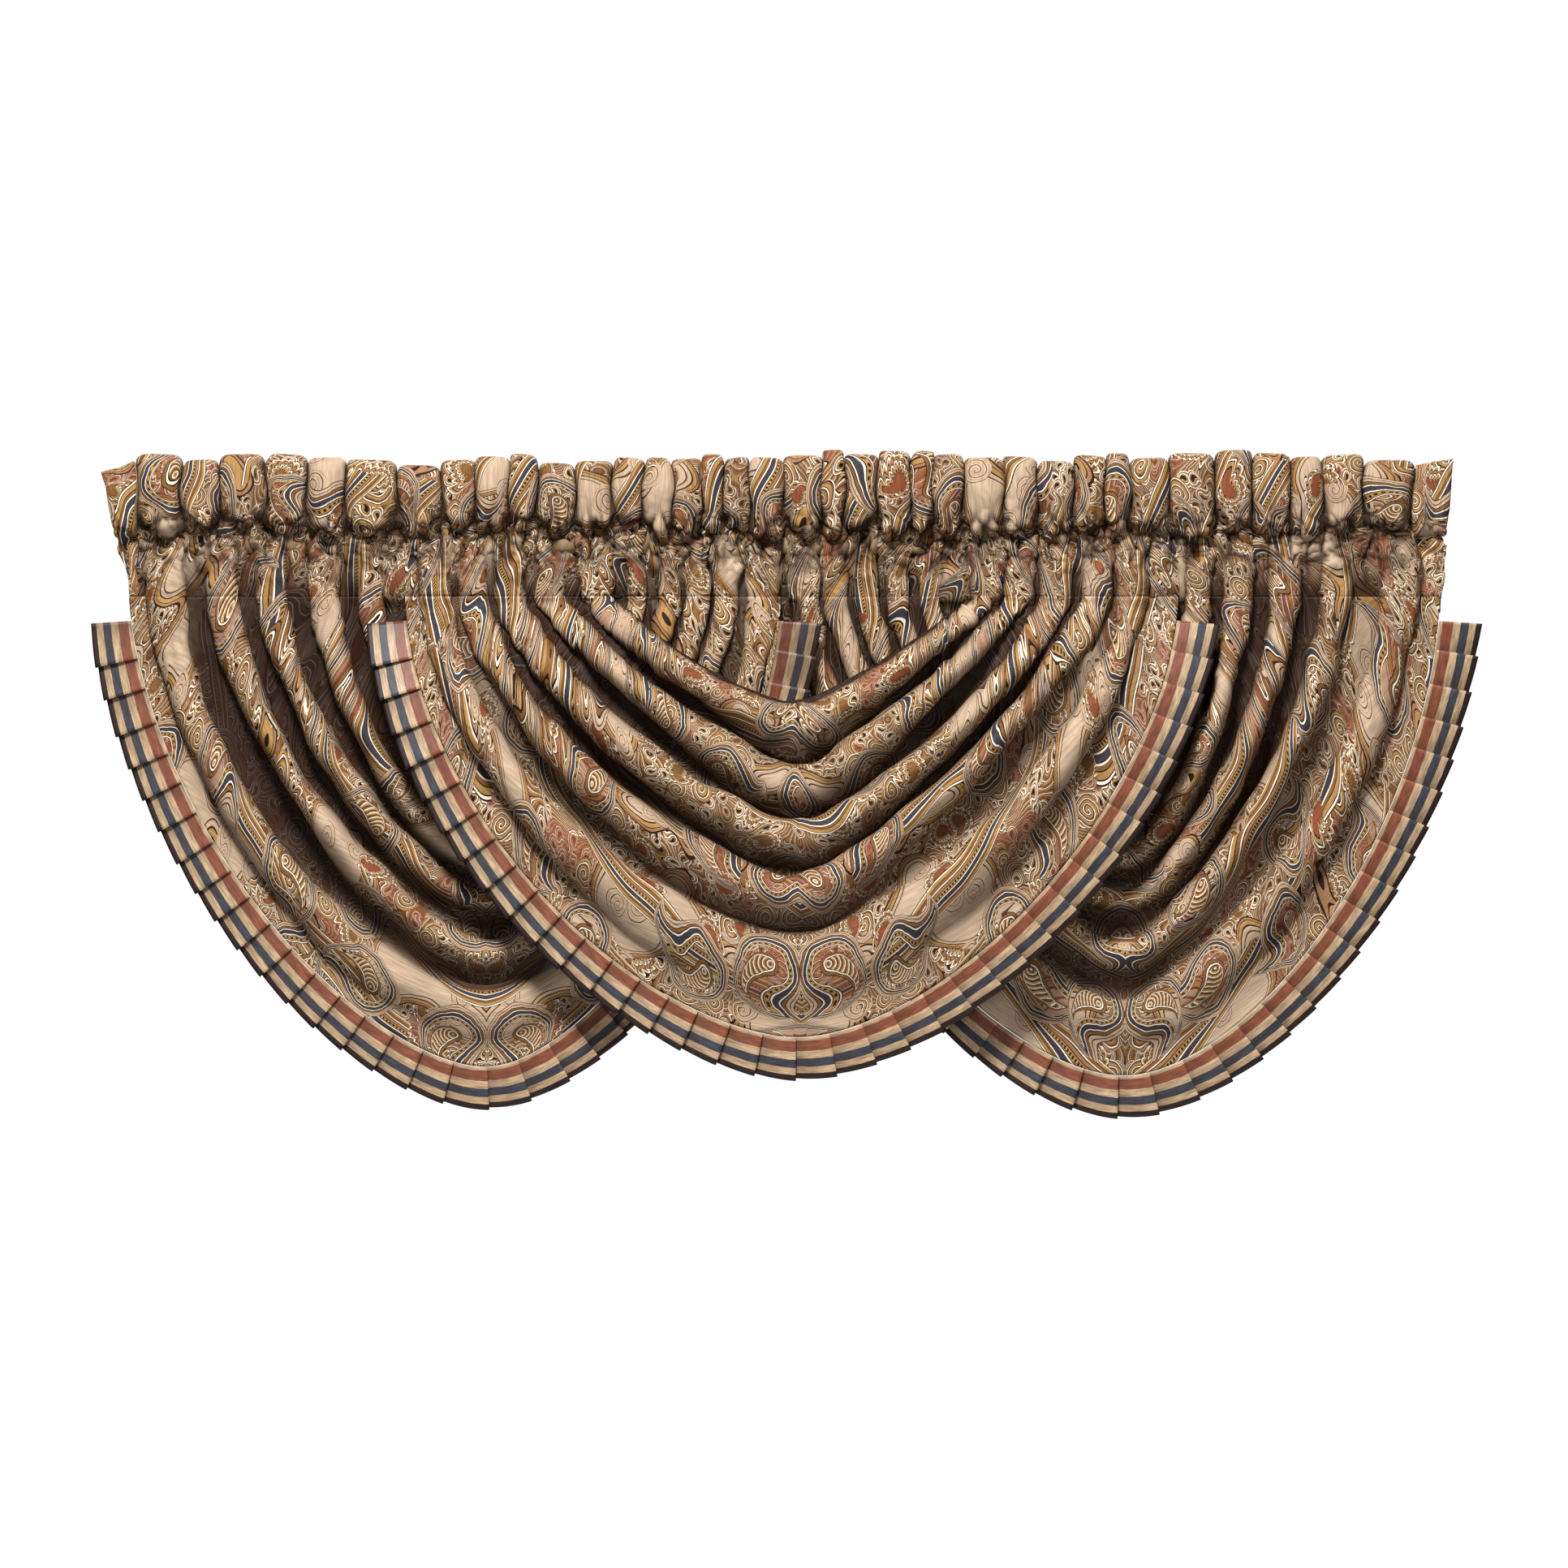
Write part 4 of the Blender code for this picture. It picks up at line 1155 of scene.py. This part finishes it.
def jacquard_pattern(w, place):
    """Colour of the paisley weave at a place on the flat cloth, in millimetres."""
    _, broad_way = w.noise(place, 85.0, 3.1)
    _, small_way = w.noise(place, 14.0, 9.4)
    bend = w.scaled(w.vector("-", broad_way, (0.5, 0.5, 0.5)), 30.0)
    ripple = w.scaled(w.vector("-", small_way, (0.5, 0.5, 0.5)), 3.0)
    warped = w.vector("+", w.vector("+", place, bend), ripple)
    colour, plain = ground_weave(w, place, warped)

    # Small spirals, thin on the plain patches
    cells = cell_drops(w, warped, 33.0, 13.0, 0, 4.7, 0.8)
    winding = w.math("*+", cells.radius, 1 / 4.2, w.math("*", cells.angle, 1 / TURN))
    turns = w.math("FRACT", winding)
    rich, _ = w.bands(turns, SPIRAL_BANDS, 1.0)
    thin, _ = w.bands(turns, THIN_BANDS, 1.0)
    near = w.math("<", cells.radius, SPIRAL_REACH)
    inside = w.math("*", near, w.math(">", cells.pick, 0.40))
    colour = w.mix(inside, colour, w.mix(plain, rich, thin))

    # Scalloped leaves
    cells = cell_drops(w, warped, 56.0, 14.0, 12, 8.9, 0.75)
    leaf, cover = w.bands(cells.share, LEAF_BANDS, 1.2)
    core = w.math("*", w.math("<", cells.share, 0.24), w.math(">", cells.pick, 0.6))
    leaf = w.mix(core, leaf, RUST)
    shown = w.math("MAXIMUM", w.math("-", 1.0, plain), w.math(">", cells.pick, 0.8))
    colour = w.mix(w.math("*", cover, shown), colour, leaf)

    # Bundles of flowing stripes, with a dotted chain
    u, v, _ = w.split(place)
    wander, wander_way = w.noise(place, 130.0, 41.0)
    down = w.math("+", w.math("*", v, 0.88), w.math("*", u, -0.42))
    level = w.math("+", down, w.math("*", wander, 62.0))
    stream = w.math("WRAP", level, STREAM_PITCH, 0.0)
    stripes, cover = w.bands(stream, STREAM_BANDS, 30.0)
    run = w.math("+", w.math("*", u, 0.88), w.math("*", v, 0.42))
    stripes = w.mix(dotted(w, stream, STREAM_DOTS, run, 1.9), stripes, DARK)
    gate, _, _ = w.split(wander_way)
    colour = w.mix(w.math("*", cover, w.math(">", gate, 0.44)), colour, stripes)

    # Large drops outlined by ribbons of slate
    cells = cell_drops(w, warped, 108.0, 30.0, 0, 1.3, 0.6)
    ribbon, cover = w.bands(cells.share, DROP_BANDS, 1.3)
    ribbon = w.mix(dotted(w, cells.share, DROP_DOTS, cells.angle, 22.0), ribbon, DARK)
    shell = w.math("FRACT", w.math("*+", cells.radius, 1 / 3.6, w.math("*", wander, 3.0)))
    core, _ = w.bands(shell, SHELL_BANDS, 1.0)
    ribbon = w.mix(w.math("<", cells.share, 0.10), ribbon, core)
    fill = w.math("*", w.math("<", cells.share, 0.61), w.math(">", cells.pick, 0.5))
    colour = w.mix(w.math("*", fill, 0.5), colour, RUST)
    return w.mix(cover, colour, ribbon)


def times(w, colour, amount):
    """A colour made lighter or darker by a number."""
    grey = w.node("ShaderNodeCombineColor", (amount, amount, amount)).outputs[0]
    return w.mix(1.0, colour, grey, "MULTIPLY")


# Colour of the painted shade that is mixed into the cloth where it lies in valleys, gaps and crevices
VALLEY_SHADE = tone(34, 15, 6)


def jacquard_cloth(name):
    """Woven jacquard: paisley on beige, with slubs, painted shade in valleys and crevices, and a soft
    sheen.
    """
    w = Wires(name)
    x, y, _ = w.split(w.place)
    slub = w.streaks(0.07, 1.7, 51.0)
    twill = w.math("SINE", w.math("*", w.math("+", x, y), TURN / 1.6))
    thread = w.math("*+", twill, 0.06, w.math("*+", slub, 0.9, 0.55))
    colour = times(w, jacquard_pattern(w, w.place), thread)
    # Painted shade: the mesh's shade value mixes the painted shade colour into the weave
    shade = w.node("ShaderNodeAttribute", attribute_name="shade").outputs["Fac"]
    colour = w.mix(w.math("*", shade, 0.95), colour, VALLEY_SHADE)
    return w.dress(colour, thread, (0.4, 0.0006), 0.62, 0.12)


def lining_side(name):
    """The wrong side of the jacquard: floating threads in muted bands."""
    w = Wires(name)
    patches, _ = w.noise(w.place, 26.0, 5.5, 2.0)
    threads = w.streaks(0.05, 1.5, 7.0)
    blend = w.math("*+", threads, 0.5, w.math("-", patches, 0.25), clamp=True)
    colour = w.mix(blend, tone(96, 70, 50), tone(176, 146, 110))
    return w.dress(colour, threads, (0.3, 0.0005), 0.8, 0.5)


# The ribbon's stripes, from the seam to the outer edge: where each starts, in millimetres
RIBBON_BANDS = [
    (0.0, tone(184, 152, 118)), (3.0, tone(132, 74, 52)), (12.0, tone(190, 160, 126)),
    (18.5, tone(60, 62, 70)), (25.5, tone(188, 158, 124)), (31.5, tone(40, 28, 27)),
]


def ribbon_cloth(name):
    """Striped ribbon with slub streaks along it, and painted shadow where each pleat starts under the lap
    of the one before.
    """
    w = Wires(name)
    _, across, _ = w.split(w.place)
    wander, _ = w.noise(w.place, 9.0, 2.0)
    edge = w.math("+", across, w.math("*+", wander, 0.6, -0.3))
    colour, _ = w.bands(edge, RIBBON_BANDS, 40.0)
    slub = w.streaks(0.08, 1.1, 12.0)
    streak = w.math("*+", slub, 1.1, 0.36)
    mottle = w.math("*+", w.streaks(0.3, 4.5, 31.0), 0.9, 0.5)
    colour = times(w, colour, w.math("*", streak, mottle))
    # Painted shadow: the mesh's shade value mixes a shadow brown into the stripes
    shade = w.node("ShaderNodeAttribute", attribute_name="shade").outputs["Fac"]
    pleat_shadow = w.math("*", w.math("POWER", shade, 2.0), 0.55)
    return w.dress(w.mix(pleat_shadow, colour, tone(50, 32, 24)), slub, (0.3, 0.0004), 0.48, 0.25)


def added(name, data):
    """A new object in the scene."""
    obj = bpy.data.objects.new(name, data)
    bpy.context.collection.objects.link(obj)
    return obj


def sheet_object(name, sheet, thickness, front, back):
    """Skin a sheet's grid as thick cloth with a right and a wrong side."""
    rows, columns = sheet.grid.shape[:2]
    corner = (np.arange(rows - 1)[:, None] * columns + np.arange(columns - 1)[None, :]).ravel()
    faces = np.column_stack([corner, corner + columns, corner + columns + 1, corner + 1])
    mesh = bpy.data.meshes.new(name)
    mesh.from_pydata((sheet.grid.reshape(-1, 3) * METRES).tolist(), [], faces.tolist())
    flat = np.column_stack([sheet.flat_u.ravel(), sheet.flat_v.ravel()]) * METRES
    layer = mesh.uv_layers.new(name="cloth")
    layer.uv.foreach_set("vector", flat[faces.ravel()].astype(np.float32).ravel())
    shade = mesh.attributes.new("shade", "FLOAT", "POINT")
    shade.data.foreach_set("value", sheet.shade.ravel().astype(np.float32))
    mesh.materials.append(front)
    mesh.materials.append(back)
    mesh.shade_smooth()
    obj = added(name, mesh)
    solidify = obj.modifiers.new("cloth thickness", "SOLIDIFY")
    solidify.thickness = thickness * METRES
    solidify.offset = 0.0
    solidify.material_offset = 1
    return obj


def flipped(sheet):
    """The same sheet with its rows reversed, so that its front faces the other way."""
    return Sheet(*(values[::-1] for values in sheet))


def build_swag(swag, sheet, front, back):
    """One swag in place of its solid."""
    mirrored = sheet._replace(flat_u=np.abs(sheet.flat_u), flat_v=sheet.flat_v + PATTERN_START[swag.name])
    obj = sheet_object("cloth_" + swag.name, mirrored, CLOTH, front, back)
    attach(obj, "root")
    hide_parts("swag_" + swag.name)
    return obj


def build_trim(swag, front):
    """One pleated ribbon in place of its solid."""
    sheet = trim_sheet(swag)
    obj = sheet_object("ribbon_" + swag.name, sheet, RIBBON, front, front)
    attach(obj, "root")
    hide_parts("trim_" + swag.name)
    return obj


# How far up the pattern each swag's hem lies, in millimetres
PATTERN_START = {"left": 3777.0, "centre": 3300.0, "right": 1035.0}


Seam = namedtuple("Seam", "name side until")

# The seam from left to right: the swag and the end of it, -1 or 1, that is sewn up to each place
SEAMS = [
    Seam("left", -1, -341.0), Seam("centre", -1, -166.0), Seam("left", 1, -6.0),
    Seam("right", -1, 165.0), Seam("centre", 1, 353.0), Seam("right", 1, 600.0),
]
MATCHED_DROP = 76.0


def carried_on(seam, sheet, points):
    """A swag's flat coordinates, carried on from its end at the seam to points above it."""
    column = 0 if seam.side < 0 else -1
    inwards = np.maximum.accumulate(-seam.side * sheet.grid[::-1, column, 0])
    inwards = inwards + TINY * np.arange(len(inwards))
    end_u = np.abs(sheet.flat_u[::-1, column])
    from_hem = sheet.flat_v[::-1, column] - HEM_CURVE * end_u ** 2
    place = -seam.side * points[:, 0]
    beyond = np.minimum(place - inwards[0], 0.0) + np.maximum(place - inwards[-1], 0.0)
    u = np.interp(place, inwards, end_u) + points[:, 2] + SEAM_DROP
    v = np.interp(place, inwards, from_hem) + beyond + HEM_CURVE * u ** 2
    return np.column_stack([u, v + PATTERN_START[seam.name]])


def match_seam(obj, sheet, swag_sheets):
    """Carry each swag's pattern on over the apron above it, up to the stitching."""
    points = sheet.grid.reshape(-1, 3)
    layer = obj.data.uv_layers["cloth"]
    corners = np.empty(len(obj.data.loops), dtype=np.int64)
    obj.data.loops.foreach_get("vertex_index", corners)
    flat = np.empty(2 * len(corners), dtype=np.float32)
    layer.uv.foreach_get("vector", flat)
    flat = flat.reshape(-1, 4, 2)
    faces = corners.reshape(-1, 4)
    middle = points[faces].mean(axis=1)
    top = np.argmax(sheet.grid[:, :, 2].mean(axis=1)) * sheet.grid.shape[1]
    apron = (faces.min(axis=1) > top) & (middle[:, 2] < -MATCHED_DROP)
    last = FIRST_PUFF + sum(puff.width for puff in PUFFS)
    start = FIRST_PUFF
    for seam in SEAMS:
        here = apron & (middle[:, 0] >= start) & (middle[:, 0] < min(seam.until, last))
        carried = carried_on(seam, swag_sheets[seam.name], points)
        flat[here] = carried[faces[here]] * METRES
        start = seam.until
    layer.uv.foreach_set("vector", flat.ravel())


def build_heading(front, back, swag_sheets):
    """The gathered heading in place of its solid."""
    sheet = flipped(heading_sheet())
    obj = sheet_object("cloth_heading", sheet, CLOTH, front, back)
    match_seam(obj, sheet, swag_sheets)
    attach(obj, "root")
    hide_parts("heading")
    return obj


# Camera: straight in front, level, far enough for a product view; the frame is square
CAMERA_AWAY = 6.0
FRAME_WIDTH = 1.410
FRAME_MIDDLE = (-0.001, -0.2993)
SENSOR = 0.036


def make_camera():
    """The camera, straight in front."""
    camera = bpy.data.cameras.new("camera")
    camera.sensor_width = SENSOR / METRES
    camera.lens = SENSOR / METRES * CAMERA_AWAY / FRAME_WIDTH
    camera.clip_end = 60.0
    obj = added("camera", camera)
    obj.location = (FRAME_MIDDLE[0], -CAMERA_AWAY, FRAME_MIDDLE[1])
    obj.rotation_euler = (math.pi / 2, 0.0, 0.0)
    bpy.context.scene.camera = obj


# Soft lights round the object: a key above and in front, weak ones beside it, and one for the back,
# each with its place, size and power
LIGHTS = [
    ("key", (-0.45, -2.0, 2.1), 0.8, 158.0), ("side", (1.8, -2.4, 0.7), 1.2, 18.0),
    ("front", (-0.9, -3.6, 0.1), 1.6, 14.0), ("back", (0.8, 2.6, 1.6), 1.6, 70.0),
]
AIM = (0.0, 0.0, -0.3)


def make_lights():
    """The lights of the table, each turned to the object."""
    for name, place, size, power in LIGHTS:
        data = bpy.data.lights.new(name, "AREA")
        data.shape = "DISK"
        data.size = size
        data.energy = power
        obj = added(name, data)
        obj.location = place
        way = np.array(AIM) - np.array(obj.location)
        flat = math.hypot(way[0], way[1])
        obj.rotation_euler = (math.atan2(flat, -way[2]), 0.0, math.atan2(-way[0], way[1]))


# The pale floor is a disc below the hanging cloth, and a white wall stands far behind
FLOOR_DROP = 1.25
FLOOR_RADIUS = 1.1
FLOOR_SIDES = 96
WALL_AWAY = 9.0
WALL_REACH = 7.0
ROOM_LIGHT = 0.035


def stage_object(name, points, color, glow):
    """A flat pale piece of the set."""
    mesh = bpy.data.meshes.new(name)
    mesh.from_pydata(points, [], [tuple(range(len(points)))])
    material = bpy.data.materials.new(name)
    material.use_nodes = True
    shader = material.node_tree.nodes["Principled BSDF"]
    shader.inputs["Base Color"].default_value = (*color, 1.0)
    shader.inputs["Roughness"].default_value = 0.9
    shader.inputs["Emission Color"].default_value = (1.0, 1.0, 1.0, 1.0)
    shader.inputs["Emission Strength"].default_value = glow
    mesh.materials.append(material)
    added(name, mesh)


def make_stage():
    """A pale floor well below the hanging cloth, a white wall and dim, even room light."""
    turns = TURN * np.arange(FLOOR_SIDES) / FLOOR_SIDES
    rim = [(FLOOR_RADIUS * math.cos(turn), FLOOR_RADIUS * math.sin(turn), -FLOOR_DROP) for turn in turns]
    stage_object("pale floor", rim, (0.84, 0.84, 0.84), 0.0)
    corners = [(-1, -1), (1, -1), (1, 1), (-1, 1)]
    wall = [(x * WALL_REACH, WALL_AWAY, z * WALL_REACH) for x, z in corners]
    stage_object("white wall", wall, (0.2, 0.2, 0.2), 1.0)
    world = bpy.data.worlds.new("room")
    world.use_nodes = True
    background = world.node_tree.nodes["Background"]
    background.inputs["Color"].default_value = (1.0, 1.0, 1.0, 1.0)
    background.inputs["Strength"].default_value = ROOM_LIGHT
    bpy.context.scene.world = world
    bpy.context.scene.view_settings.view_transform = "Standard"


def main():
    """The whole scene: cloth, ribbons, camera, lights and set."""
    jacquard = jacquard_cloth("jacquard cloth")
    wrong_side = lining_side("jacquard wrong side")
    ribbon = ribbon_cloth("striped ribbon")
    swag_sheets = {swag.name: swag_sheet(swag) for swag in SWAGS}
    build_heading(jacquard, wrong_side, swag_sheets)
    for swag in SWAGS:
        trim = build_trim(swag, ribbon)
        obj = build_swag(swag, swag_sheets[swag.name], jacquard, wrong_side)
    make_camera()
    make_lights()
    make_stage()


main()
